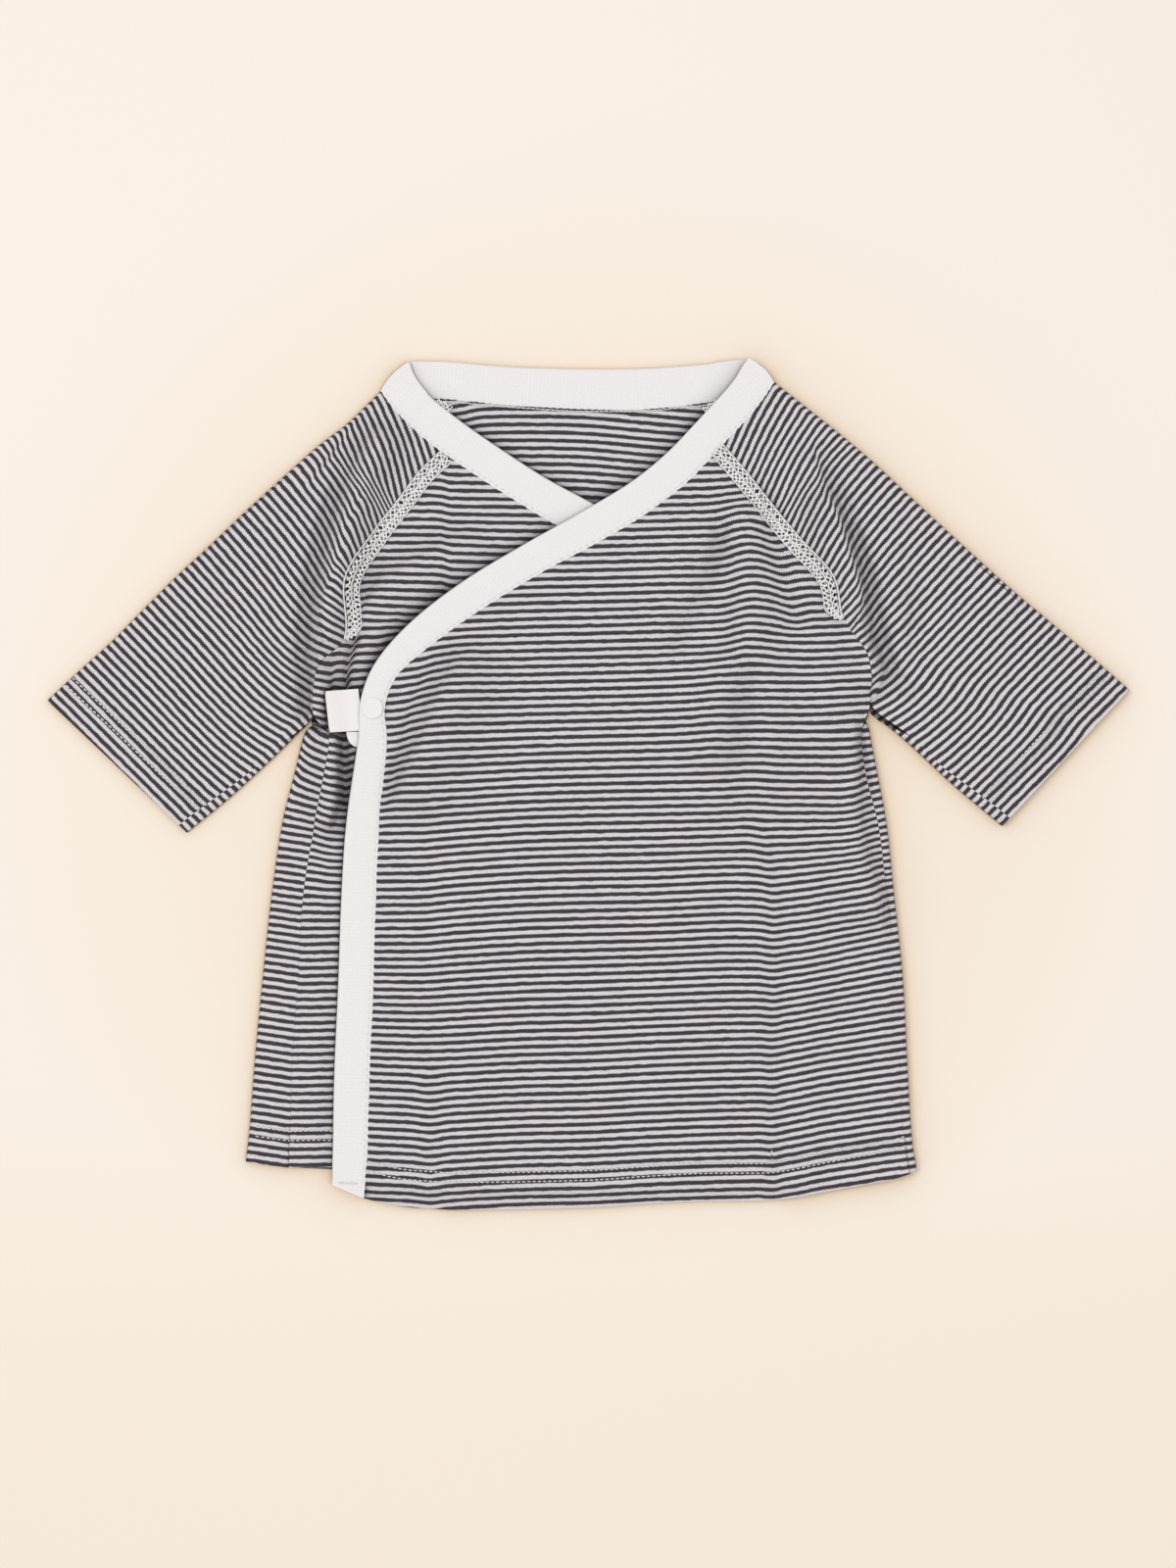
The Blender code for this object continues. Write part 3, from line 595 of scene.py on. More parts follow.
height, shift = folded(FOLDS_OVER + CREST_LEFT, x, y)
height *= 1 - between(y, *SIDE_CLOSE_UP) * eased(1 - (x[:, -1:] - x) / SIDE_CLOSE)
height += HEM_THICK * eased((HEM_DEPTH - above_hem(x, y)) / HEM_STEP) * eased(
    (x - x[:, :1] - INTO_BAND) / HEM_STEP)
over_stripes = y - ridden(RIDE_OVER, RIDE_OVER_AT, x, y) - shift - OVER_PHASE
height -= HEM_DROOP * between(y, *HEM_DROOP_UP) * between(x, *HEM_DROOP_ACROSS)
over_grid = np.stack([x, y, Z_OVER + height], -1)
front_over = cloth("jersey_left_front", over_grid, over_stripes, WALL, JERSEY)
on_frame(front_over, "striped_jersey", "front_over")

# ================================================================= sleeves
# Two raglan sleeves: each one piece of the jersey folded along the shoulder.
# Their stripes run round the arm; the underarm seam comes a little onto the front.
Arm = namedtuple("Arm", "shoulder_x shoulder_y under_x under_y")
ARM_RIGHT = [Arm(*row) for row in (
    (-175.5, 52, -112, 13), (-187.5, 41.2, -130.5, -4.2), (-199, 30.5, -147.6, -18.2))]
ARM_LEFT = [Arm(*row) for row in (
    (170, 59.4, 117.5, 14.8), (184.5, 47.2, 135, -1.4), (199, 34.5, 152.3, -15.8))]
SLEEVE_STEPS = (10, 12, 14, 14, 14, 12, 14, 10, 13, 13)
UPPER_COLUMNS = 72
UPPER_DENSE = 1.4           # they stand closer towards the raglan seam
SHOULDER_COLUMNS = 9
LOWER_COLUMNS = 26
UNDER_LIP = 4.0             # how far the underarm seam comes onto the front
FLAT_TURN = 3.0             # above the underarm, the same stations lie flat over this much
SLEEVE_DROP = 1.0           # the cuff lies this much lower than the neck end
DIAGONAL = math.sqrt(0.5)   # the arms lie at 45 degrees
# How the stripes lean from square across the arm, in degrees: rows go from cuff to neck,
# columns from the shoulder fold towards the raglan seam.
LEAN_ALONG = (-115, -60, -40, -25, -13, -4, 5, 14, 25, 45)
LEAN_ACROSS_RIGHT = (160, 148, 140, 134, 127, 120, 112, 104, 92)
LEAN_RIGHT = (
    (0, 0, 0, 0, 0, 0, 0, 0, 0),
    (2, 2, 2, 3, 4, 2, 0, -6, -18),
    (3, 4, 5, 6, 8, 4, -4, -16, -20),
    (3, 5, 7, 8, 8, 2, -10, -20, -20),
    (3, 5, 7, 9, 12, 8, -8, -14, -10),
    (3, 5, 8, 12, 24, 27, 14, 0, 0),
    (3, 6, 9, 15, 28, 32, 24, 20, 20),
    (5, 8, 11, 20, 32, 32, 28, 20, 20),
    (14, 21, 26, 31, 32, 30, 28, 20, 20),
    (18, 22, 24, 26, 26, 26, 24, 20, 20),
)
LEAN_ACROSS_LEFT = (164, 152, 140, 128, 116, 104, 94)
LEAN_LEFT = (
    (0, 0, 0, 0, 0, 0, 0),
    (0, 0, 2, 2, 0, -6, -16),
    (0, 2, 3, 3, 2, -18, -22),
    (0, 2, 4, 6, 6, -10, -20),
    (0, 3, 5, 10, 16, 8, 0),
    (0, 3, 6, 14, 21, 15, 10),
    (0, 3, 7, 17, 24, 15, 10),
    (0, 4, 9, 20, 24, 15, 10),
    (2, 8, 15, 22, 23, 15, 10),
    (6, 12, 17, 22, 20, 15, 10),
)
FOLDS_SLEEVE_RIGHT = CREST_RIGHT + (
    Fold(((-94, 106), (-97.5, 95), (-101.3, 80), (-104.3, 65), (-104.8, 50), (-104.6, 36),
         (-104, 27)), 3.6, height=-1.3),
    Fold(((-84.1, 104.9), (-87.9, 96.7), (-90.7, 85.6), (-95.7, 70.2)), 1.3, height=-0.4,
         drag=-0.6),
    Fold(((-97, 64), (-97.6, 58), (-96.6, 52)), 0.8, height=0.5, drag=0.5),
    Fold(((-91.3, 125), (-98.2, 116.2)), 0.8, height=-0.5, step=1.3),
    Fold(((-134, 78), (-118, 34)), 8, height=0.9),
    Fold(((-116, 104), (-134, 60), (-146, 26)), 9, height=0.8),
)
FOLDS_SLEEVE_LEFT = CREST_LEFT + (
    Fold(((97, 57), (100.3, 65.5), (98.5, 75), (96.3, 81.7), (92.3, 94.8), (86.5, 106),
         (84.7, 115)), 0.6, height=0.8, step=1.7),
    Fold(((108, 56), (105, 66), (102.5, 78), (98, 92)), 3, height=-1),
    Fold(((108, 52), (111.5, 43), (118, 34)), 3.6, height=-1.2),
    Fold(((107, 39), (104.6, 32.5)), 1.2, height=1.4, drag=1),
    Fold(((120, 68), (121, 46)), 4, height=-0.8),
    Fold(((113, 84), (114, 56)), 4, height=1.4),
    Fold(((150, 76), (136, 30)), 9, height=0.9),
)
AT_SEAM = 2.2               # folds ease off over this much of the sleeve at the underarm
CUFF_MISS = 1.4             # by the cuff, stripes miss each other at the underarm seam
CUFF_MISS_FROM = 8.3        # counted in rows of the table, as the next ones are
CUFF_MISS_ROWS = 0.6
DROP_ROWS = (5, 10)
LIP_FROM = 7.3
LIP_ROWS = 2.5
LEAST_LIP = 0.8             # but it always reaches this far past the fold
FLAT_LIP = 0.1              # above the underarm it lies flat with this much to spare
LEAN_PLACES = 120           # the leans are summed up over this many steps across the arm
PHASE_RIGHT = 1.35
PHASE_LEFT = 0.3


def leaning(table, along_at, across_at, along, across):
    """How far stripes have slipped along the arm by each point, from their lean."""
    fine = np.linspace(across_at[0], across_at[-1], LEAN_PLACES)
    slopes = np.array([np.interp(fine, across_at[::-1], np.tan(np.radians(row))[::-1])
                       for row in np.array(table, float)])
    slips = np.cumsum(slopes, axis=1) * (fine[1] - fine[0])
    place = np.interp(along, along_at, np.arange(len(along_at)))
    low = np.clip(place.astype(int), 0, len(along_at) - 2)
    share = eased(place - low)
    slot = np.clip((across - fine[0]) / (fine[1] - fine[0]), 0, len(fine) - 1.001)
    column = slot.astype(int)
    part = slot - column
    low_slip = slips[low, column] * (1 - part) + slips[low, column + 1] * part
    high_slip = slips[low + 1, column] * (1 - part) + slips[low + 1, column + 1] * part
    return low_slip * (1 - share) + high_slip * share


def sleeve(name, side, armhole, arm, z_top, folds, lean, lean_across, phase):
    """A sleeve from the neck to the cuff; side is -1 for the wearer's right, else 1."""
    down = armhole[::-1]
    shoulder = through([(row.shoulder_x, row.shoulder_y) for row in down + arm], SLEEVE_STEPS)
    unders = [(row.under_x, row.under_y) for row in arm]
    front = through([(row.front_x, row.front_y) for row in down] + unders, SLEEVE_STEPS)
    back = through([(row.back_x, row.back_y) for row in down] + unders, SLEEVE_STEPS)
    rows = len(shoulder)
    row = row_places(SLEEVE_STEPS)
    below = eased(row - (len(armhole) - 1))
    z_high = z_top - SLEEVE_DROP * between(row, *DROP_ROWS)
    radius = (z_high - Z_BACK) / 2
    lip = np.maximum(UNDER_LIP * eased((row - LIP_FROM) / LIP_ROWS), radius + LEAST_LIP) * below
    to_front, to_back = unit(front - shoulder), unit(back - shoulder)

    share = np.linspace(0, 1, UPPER_COLUMNS)[None, :, None] ** UPPER_DENSE
    first = (front - to_front * (lip + SEAM)[:, None])[:, None]
    last = (shoulder + to_front * (radius + WALL / 2)[:, None])[:, None]
    upper = first * (1 - share) + last * share
    height, shift = folded(folds, upper[..., 0], upper[..., 1])
    eased_off = eased(np.linalg.norm(upper - first, axis=2) / AT_SEAM)
    height *= 1 - below[:, None] * (1 - eased_off)
    upper = np.concatenate([upper, (z_high[:, None] + height)[..., None]], axis=2)

    def bend(edge, inwards, angles):
        middle = edge + inwards * (radius + WALL / 2)[:, None]
        flat = middle[:, None] - inwards[:, None] * (radius[:, None] * np.cos(angles))[..., None]
        level = (z_high + Z_BACK)[:, None] / 2 + radius[:, None] * np.sin(angles)
        return np.concatenate([flat, level[..., None]], axis=2)

    quarter = math.pi / 2
    fold = bend(shoulder, to_back, np.linspace(quarter, -quarter, SHOULDER_COLUMNS))
    inner_end = back - to_back * SEAM
    turn = bend(back, -to_back, np.linspace(-quarter, quarter, TURN_COLUMNS))
    flat_turn = inner_end[:, None] + to_back[:, None] * np.linspace(
        -FLAT_TURN, 0, TURN_COLUMNS)[None, :, None]
    flat_turn = np.concatenate([flat_turn, np.full((rows, TURN_COLUMNS, 1), Z_BACK)], 2)
    turn = turn * below[:, None, None] + flat_turn * (1 - below[:, None, None])
    lip_end = np.concatenate([back - to_back * lip[:, None], z_high[:, None]], axis=1)
    flat_end = np.concatenate([inner_end, np.full((rows, 1), Z_BACK)], axis=1)
    lip_end = lip_end * below[:, None] + flat_end * (1 - below[:, None])
    lip_end[below == 0, :2] += to_back[below == 0] * FLAT_LIP
    share = np.linspace(0, 1, LOWER_COLUMNS)[None, 1:-1, None]
    lower = fold[:, -1:] * (1 - share) + turn[:, :1] * share
    grid = np.concatenate([upper, fold, lower, turn, lip_end[:, None]], axis=1)

    along = DIAGONAL * (grid[..., 1] - side * grid[..., 0])
    across = DIAGONAL * (grid[..., 1] + side * grid[..., 0])
    slip = leaning(lean, LEAN_ALONG, lean_across, along, across)
    slip[:, :UPPER_COLUMNS] += shift
    behind = eased(np.arange(grid.shape[1] - UPPER_COLUMNS) / LOWER_COLUMNS)
    at_lip = slip[:, :1] + CUFF_MISS * eased((row - CUFF_MISS_FROM) / CUFF_MISS_ROWS)[:, None]
    slip[:, UPPER_COLUMNS:] = slip[:, UPPER_COLUMNS - 1, None] * (1 - behind) + at_lip * behind
    stripes = along - slip - phase
    return cloth(name, grid[:, ::-side], stripes[:, ::-side], WALL, JERSEY), grid


sleeve_right, sleeve_right_grid = sleeve(
    "jersey_right_sleeve", -1, ARMHOLE_RIGHT, ARM_RIGHT, Z_UNDER, FOLDS_SLEEVE_RIGHT,
    LEAN_RIGHT, LEAN_ACROSS_RIGHT, PHASE_RIGHT)
sleeve_left, sleeve_left_grid = sleeve(
    "jersey_left_sleeve", 1, ARMHOLE_LEFT, ARM_LEFT, Z_OVER, FOLDS_SLEEVE_LEFT,
    LEAN_LEFT, LEAN_ACROSS_LEFT, PHASE_LEFT)
for piece, node, area in ((sleeve_right, "sleeve_right", 0.0188),
                          (sleeve_left, "sleeve_left", 0.0185)):
    on_frame(piece, "striped_jersey", node)

# ================================================================= bindings
# White cotton rib, 1 x 1, folded over the cut edges of both fronts and of the back neck.
# Its ribs run across the band, and the seam draws its inner edge into small scallops.
BAND = 1.6                  # how thick the folded band is
BAND_STEP = 0.42
BAND_POINTS = (13, 9, 5)    # across its upper side, round its fold and across its lower side
SEAM_DIP = 0.45             # the share of its thickness that the seam pulls down
RIB = 1.26                  # one rib; the real 0.85 mm is too fine to show
RIB_DEPTH = 0.05
RIB_COURSE = 0.7            # a row of its loops
SCALLOP = 2.6               # one stitch of the seam along the band
SCALLOP_DEPTH = 0.12
STUD = (-79.2, 27.5)        # the middle of the press stud
STUD_RADIUS = 4.0
STUD_LIFT = 0.3
STUD_LIFT_REACH = 2.4       # in radii of the stud, as its fade is
STUD_LIFT_FADE = 1.3
HEM_SLANT = 0.34            # the band's lower end is cut on a slant
NECK_SLANT_UNDER = 0.24     # and so is its end at the shoulder, where it meets the back's
NECK_SLANT_OVER = 0.22      # on the left front
END_RUN = 14.0              # a slant fades out over this much of the band
NECK_BULGE = 1.2            # where the bands turn over the shoulder fold they bow out
BULGE_RUN = 8.0
RIB_WHITE = "#F1EEF0"


def cotton_rib():
    """Bleached cotton rib knit: matt and soft, with fine ribs across the band, painted
    shade between the ribs, and painted shade where folds and pieces nearby keep light from it.
    """
    material, tree = new_look("white_cotton_rib")
    mm, part = place_in_cloth(tree)
    rib = add(tree, "ShaderNodeMath", {"operation": "PINGPONG", 1: RIB / 2}, {0: part})
    # Painted shade: the colour darkens a little between the ribs.
    painted_rib_shade = add(tree, "ShaderNodeMapRange", {1: 0, 2: RIB / 2, 3: 0.975, 4: 1}, {0: rib})
    loops = add(tree, "ShaderNodeMath", {"operation": "PINGPONG", 1: RIB_COURSE / 2},
                {0: part.outputs[1]})
    fibre = add(tree, "ShaderNodeTexNoise", {"Scale": 1.2, "Detail": 3}, {"Vector": mm})
    fuzz = add(tree, "ShaderNodeMapRange", {1: 0.3, 2: 0.7, 3: 0.97, 4: 1.02}, {0: fibre})
    tone = add(tree, "ShaderNodeMath", {"operation": "MULTIPLY"}, {0: painted_rib_shade, 1: fuzz})
    colour = add(tree, "ShaderNodeVectorMath",
                 {"operation": "SCALE", 0: linear(RIB_WHITE)[:3]}, {"Scale": tone})
    grain = add(tree, "ShaderNodeMath", {"operation": "MULTIPLY_ADD", 1: 0.5}, {0: loops, 2: fibre})
    bump = add(tree, "ShaderNodeBump", {"Strength": 0.3, "Distance": 0.2 * MM}, {"Height": grain})
    # Painted shade where the band's folds and the pieces round it keep light from it.
    add(tree, "Principled BSDF",
        {"Roughness": 0.9, "Specular IOR Level": 0.2, "Sheen Weight": 0.08},
        {"Base Color": with_painted_shade(tree, colour, 9, 0.8), "Normal": bump})
    return material


RIB_KNIT = cotton_rib()


def resampled(line, step):
    """The line with points an even step apart, how far along each is, and its length."""
    run = np.concatenate([[0], np.cumsum(np.hypot(*np.diff(line[:, :2], axis=0).T))])
    stations = np.arange(0, run[-1], step)
    even = [np.interp(stations, run, line[:, index]) for index in range(line.shape[1])]
    return np.stack(even, -1), stations, run[-1]


def tube(count, ring):
    """Numbers of the points in a row of rings, of the next round each, and the faces."""
    index = np.arange(count * ring).reshape(count, ring)
    after = np.roll(index, -1, axis=1)
    quads = np.stack([index[:-1], after[:-1], after[1:], index[1:]], -1)
    return index, after, quads.reshape(-1, 4).tolist()


def stud_lift(x, y):
    """The press stud's socket lifts the band over it."""
    distance = np.hypot(x - STUD[0], y - STUD[1]) / STUD_RADIUS
    return STUD_LIFT * eased((STUD_LIFT_REACH - distance) / STUD_LIFT_FADE)


def binding(name, rows, outward, base, slant=0.0, neck_slant=0.0, bulge=0.0):
    """A band folded round an edge: rows give the edge and the band's width outside it."""
    dense = through(rows, [24] * (len(rows) - 1))
    line, stations, run = resampled(dense, BAND_STEP)
    width = line[:, 2]
    along, out = to_left(line)
    round_fold = BAND / 2
    angles = np.linspace(math.pi / 2, -math.pi / 2, BAND_POINTS[1])
    top = np.linspace(0, 1, BAND_POINTS[0])[:-1]
    low = np.linspace(1, 0, BAND_POINTS[2])[1:]
    draw = SCALLOP_DEPTH * np.cos(2 * math.pi * stations / SCALLOP)
    reach = width - round_fold
    away = np.concatenate([
        top * reach[:, None] + (1 - top) ** 6 * draw[:, None],
        reach[:, None] + round_fold * np.cos(angles),
        low * reach[:, None]], axis=1)
    crown = 1 - (1 - top) ** 4 * SEAM_DIP
    ribs = RIB_DEPTH * np.cos(2 * math.pi * stations / RIB)
    rise = np.concatenate([
        BAND * crown + ribs[:, None] * np.minimum(top * 6, 1),
        round_fold + (round_fold + ribs[:, None] * np.maximum(np.cos(
            (angles - math.pi / 2) / 2), 0)) * np.sin(angles),
        np.zeros((len(stations), len(low)))], axis=1)
    to_end = stations[-1] - stations
    bow = 4 * away * (width[:, None] - away) / width[:, None] ** 2
    slip = slant * away * eased(1 - stations / END_RUN)[:, None]
    slip += neck_slant * away * eased(1 - to_end / END_RUN)[:, None]
    slip += bulge * bow * eased(1 - to_end / BULGE_RUN)[:, None]
    flat = (line[:, None, :2] + outward * out[:, None] * away[..., None]
            + along[:, None] * slip[..., None])
    level = base + rise + stud_lift(flat[..., 0], flat[..., 1])
    points = np.concatenate([flat, level[..., None]], axis=2)
    index, after, faces = tube(*points.shape[:2])
    faces += [index[0, ::-1].tolist(), index[-1].tolist()]
    if outward > 0:
        faces = [face[::-1] for face in faces]
    girth = np.concatenate([np.zeros((len(points), 1)), np.cumsum(
        np.linalg.norm(np.diff(points, axis=1), axis=2), axis=1)], axis=1)
    place = np.stack([np.broadcast_to(stations[:, None], girth.shape), girth], -1)
    piece = finished(name, points.reshape(-1, 3), faces, place.reshape(-1, 2), RIB_KNIT)
    return piece, run


binding_back, back_run = binding("rib_back_neck", EDGE_BACK_ROWS, 1, 0.0)
binding_under, under_run = binding(
    "rib_right_front", EDGE_UNDER_ROWS, -1, Z_UNDER - CAD_WALL / 2, 0.0,
    NECK_SLANT_UNDER, NECK_BULGE)
binding_over, over_run = binding(
    "rib_left_front", EDGE_OVER_ROWS, 1, Z_OVER - CAD_WALL / 2, HEM_SLANT,
    NECK_SLANT_OVER, NECK_BULGE)
for piece, node, run, rest in (
        (binding_back, "binding_back", back_run, back_panel),
        (binding_under, "binding_under", under_run, front_under),
        (binding_over, "binding_over", over_run, front_over)):
    on_frame(piece, "white_rib", node)

# ================================================================= stitching
# White spun polyester thread: flat cover seams over both raglan seams, twin-needle rows
# at the hems and cuffs, and the small stitches that hold the bindings.
THREAD_WHITE = "#F1EEF0"


def toned(tree, colour, pattern, seen, tones):
    """The colour between two tones, as the pattern goes over the range that is seen."""
    tone = add(tree, "ShaderNodeMapRange",
               {1: seen[0], 2: seen[1], 3: tones[0], 4: tones[1]}, {0: pattern})
    return add(tree, "ShaderNodeVectorMath", {"operation": "SCALE", 0: linear(colour)[:3]},
               {"Scale": tone})


def spun_thread():
    """Spun polyester thread: white, matt, a little hairy."""
    material, tree = new_look("white_polyester_thread")
    place = add(tree, "ShaderNodeTexCoord")
    twist = add(tree, "ShaderNodeTexNoise", {"Scale": 2500, "Detail": 1},
                {"Vector": place.outputs["Object"]})
    add(tree, "Principled BSDF", {"Roughness": 0.75, "Specular IOR Level": 0.3},
        {"Base Color": toned(tree, THREAD_WHITE, twist, (0.3, 0.7), (0.9, 1.03))})
    return material


THREAD = spun_thread()


def stitch_tree():
    """Geometry nodes that set short arched threads along a line, and their inputs' ids."""
    tree = bpy.data.node_groups.new("stitches_along_a_line", "GeometryNodeTree")
    outside = tree.interface
    outside.new_socket("Line", in_out="INPUT", socket_type="NodeSocketGeometry")
    ids = []
    for label, kind, value in (
            ("Pitch", "Float", 2.4 * MM), ("Length", "Float", 2.0 * MM),
            ("Radius", "Float", 0.2 * MM), ("Angle", "Float", 0.0), ("Spread", "Float", 0.0),
            ("Seed", "Int", 1)):
        made = outside.new_socket(label, in_out="INPUT", socket_type="NodeSocket" + kind)
        made.default_value = value
        ids.append(made.identifier)
    outside.new_socket("Stitches", in_out="OUTPUT", socket_type="NodeSocketGeometry")
    given = add(tree, "NodeGroupInput").outputs
    line = add(tree, "GeometryNodeMeshToCurve", {}, {"Mesh": given["Line"]})
    points = add(tree, "GeometryNodeCurveToPoints", {"mode": "LENGTH"},
                 {"Curve": line, "Length": given["Pitch"]})
    half, minus, sunk, arch, back_spread = [
        add(tree, "ShaderNodeMath", {"operation": "MULTIPLY", 1: share}, {0: given[label]})
        for label, share in (("Length", 0.5), ("Length", -0.5), ("Radius", -0.8),
                             ("Radius", 1.6), ("Spread", -1.0))]
    start = add(tree, "ShaderNodeCombineXYZ", {}, {0: minus, 2: sunk})
    crown = add(tree, "ShaderNodeCombineXYZ", {}, {2: arch})
    end = add(tree, "ShaderNodeCombineXYZ", {}, {0: half, 2: sunk})
    core = add(tree, "GeometryNodeCurveQuadraticBezier", {"Resolution": 4},
               {"Start": start, "Middle": crown, "End": end})
    ring = add(tree, "GeometryNodeCurvePrimitiveCircle", {"Resolution": 6},
               {"Radius": given["Radius"]})
    thread = add(tree, "GeometryNodeCurveToMesh", {"Fill Caps": True},
                 {"Curve": core, "Profile Curve": ring})
    smooth = add(tree, "GeometryNodeSetShadeSmooth", {}, {0: thread})
    aimed = add(tree, "FunctionNodeAlignRotationToVector", {"axis": "X", "pivot_axis": "Z"},
                {"Vector": points.outputs["Tangent"]})
    chance = add(tree, "FunctionNodeRandomValue", {"data_type": "FLOAT"},
                 {2: back_spread, 3: given["Spread"], "Seed": given["Seed"]})
    lean = add(tree, "ShaderNodeMath", {"operation": "ADD"},
               {0: given["Angle"], 1: chance.outputs[1]})
    spin = add(tree, "ShaderNodeCombineXYZ", {}, {2: lean})
    turned = add(tree, "FunctionNodeRotateRotation", {"rotation_space": "LOCAL"},
                 {0: aimed, 1: spin})
    placed = add(tree, "GeometryNodeInstanceOnPoints", {},
                 {"Points": points, "Instance": smooth, "Rotation": turned})
    real = add(tree, "GeometryNodeRealizeInstances", {}, {0: placed})
    named = add(tree, "GeometryNodeSetMaterial", {"Material": THREAD}, {0: real})
    add(tree, "NodeGroupOutput", {}, {0: named})
    return tree, ids


STITCH_TREE, STITCH_INPUTS = stitch_tree()
Run = namedtuple("Run", "lines pitch length radius angle spread seed", defaults=(0.0, 0.0, 1))
STITCH_LIFT = 0.05          # threads lie this much above the cloth
ABOVE = 30.0                # higher than any piece


def dropped(line, piece, lift=STITCH_LIFT):
    """The line laid on top of a piece, a little above it; where it is missed, as before."""
    data = piece.data
    corners = [corner.vertices[:] for corner in data.polygons]
    tree = BVHTree.FromPolygons([vertex.co for vertex in data.vertices], corners)
    made = []
    level = 0.0
    for x, y in line[:, :2]:
        hit = tree.ray_cast(Vector((x, y, ABOVE)) * MM, Vector((0, 0, -1)))[0]
        if hit is not None:
            level = hit.z / MM + lift
        elif not made:
            continue
        made.append((x, y, level))
    return np.array(made)


def sewn(name, runs):
    """One piece of stitching from several runs of stitches."""
    whole = bmesh.new()
    for run in runs:
        data = bpy.data.meshes.new("line")
        points, edges = [], []
        for line in run.lines:
            start = len(points)
            points += (line * MM).tolist()
            edges += [(index, index + 1) for index in range(start, len(points) - 1)]
        data.from_pydata(points, edges, [])
        guide = bpy.data.objects.new("line", data)
        bpy.context.scene.collection.objects.link(guide)
        modifier = guide.modifiers.new("stitches", "NODES")
        modifier.node_group = STITCH_TREE
        for socket, value in zip(STITCH_INPUTS, (
                run.pitch * MM, run.length * MM, run.radius * MM,
                math.radians(run.angle), math.radians(run.spread), run.seed)):
            modifier[socket] = value
        graph = bpy.context.evaluated_depsgraph_get()
        part = bpy.data.meshes.new_from_object(guide.evaluated_get(graph), depsgraph=graph)
        whole.from_mesh(part)
        bpy.data.objects.remove(guide)
        bpy.data.meshes.remove(part)
    made = bpy.data.meshes.new(name)
    whole.to_mesh(made)
    whole.free()
    made.materials.append(THREAD)
    piece = bpy.data.objects.new(name, made)
    bpy.context.scene.collection.objects.link(piece)
    return piece


COVER_WIDTH = 5.5
COVER_ASIDE = 0.4           # its first needle line runs this far from the seam
COVER_STEP = 0.8
COVER_TAPER = (0.35, 8)     # the share of its width that it starts with, the steps to the whole
COVER_LOOPER_LIFT = 0.1     # the threads between its needle lines lie on top of them
COVER_FROM = {"right": 53.0, "left": 60.0, "back": 124.0}   # how high each one starts
# The runs of stitches in a flat cover seam: how far across it each lies, then the pitch,
# length, radius, angle, spread and seed of its stitches.
COVER_RUNS = (
    (0.0, 2.1, 2.1, 0.32, 0, 0, 1), (0.24, 2.4, 3.1, 0.32, 44, 14, 3),
    (0.24, 2.4, 3.1, 0.32, -44, 14, 5), (0.5, 1.6, 2.2, 0.32, 0, 26, 7),
    (0.74, 1.7, 3.1, 0.33, 50, 22, 11), (0.74, 1.9, 3.1, 0.33, -50, 22, 13),
    (1.0, 2.0, 1.9, 0.28, 0, 14, 17))


def cover_seam(seam, side, piece, start):
    """Runs of a flat cover seam beside a seam line: two needle lines and loopers between."""
    line = resampled(sideways(seam, side * COVER_ASIDE)[seam[:, 1] > start], COVER_STEP)[0]
    first, steps = COVER_TAPER
    taper = COVER_WIDTH * eased(np.arange(len(line)) / steps + first)[:, None]
    across = to_left(line)[1] * side * taper
    lines = {share: dropped(line + across * share, piece,
                            STITCH_LIFT + COVER_LOOPER_LIFT * (0 < share < 1))
             for share in sorted({run[0] for run in COVER_RUNS})}
    return [Run([lines[share]], *stitch) for share, *stitch in COVER_RUNS]


for end, seam, side, piece, node in (
        ("right", FRONT_SEAM_RIGHT, -1, front_under, "front_under"),
        ("left", FRONT_SEAM_LEFT, 1, front_over, "front_over")):
    runs = cover_seam(seam, side, piece, COVER_FROM[end])
    on_frame(sewn("cover_seam_" + end, runs), "white_tape", node)

NECK_CHAIN = dict(pitch=1.8, length=1.5, radius=0.2, spread=12, seed=11)
NECK_CHAIN_ASIDE = -0.7     # it runs just below the band
LINE_STEP = 1.0             # points on a stitched line stand this far apart
neck_seams = [run for edge, side in ((left_edge, -1), (right_edge, 1))
              for run in cover_seam(edge[:, :2], side, back_panel, COVER_FROM["back"])]
neck_line = resampled(sideways(np.array(EDGE_BACK_ROWS), NECK_CHAIN_ASIDE), LINE_STEP)[0]
neck_seams.append(Run([dropped(neck_line, back_panel)], **NECK_CHAIN))
on_frame(sewn("neck_stitching", neck_seams), "white_tape", "binding_back")

HEM_NEEDLES = (10.5, 14)    # how far each needle's row lies from the edge
STRIP_NEEDLES = (9.9, 13.3)
CUFF_NEEDLES = (8.9, 12.4)
STRIP_COLUMNS = 40          # as much of the right front as shows
HEM_STITCH = dict(pitch=1.9, length=1.05, radius=0.19)
CUFF_STITCH = dict(pitch=1.9, length=1.0, radius=0.24)


def hem_lines(grid, distances, piece):
    """Lines that keep their distances from the first row of a grid of points, on a piece."""
    x, y = grid[..., 0], grid[..., 1]
    run = above_hem(x, y)
    made = []
    for distance in distances:
        line = np.array([[np.interp(distance, run[:, c], place[:, c]) for place in (x, y)]
                         for c in range(x.shape[1])])
        made.append(dropped(resampled(line, LINE_STEP)[0], piece))
    return made


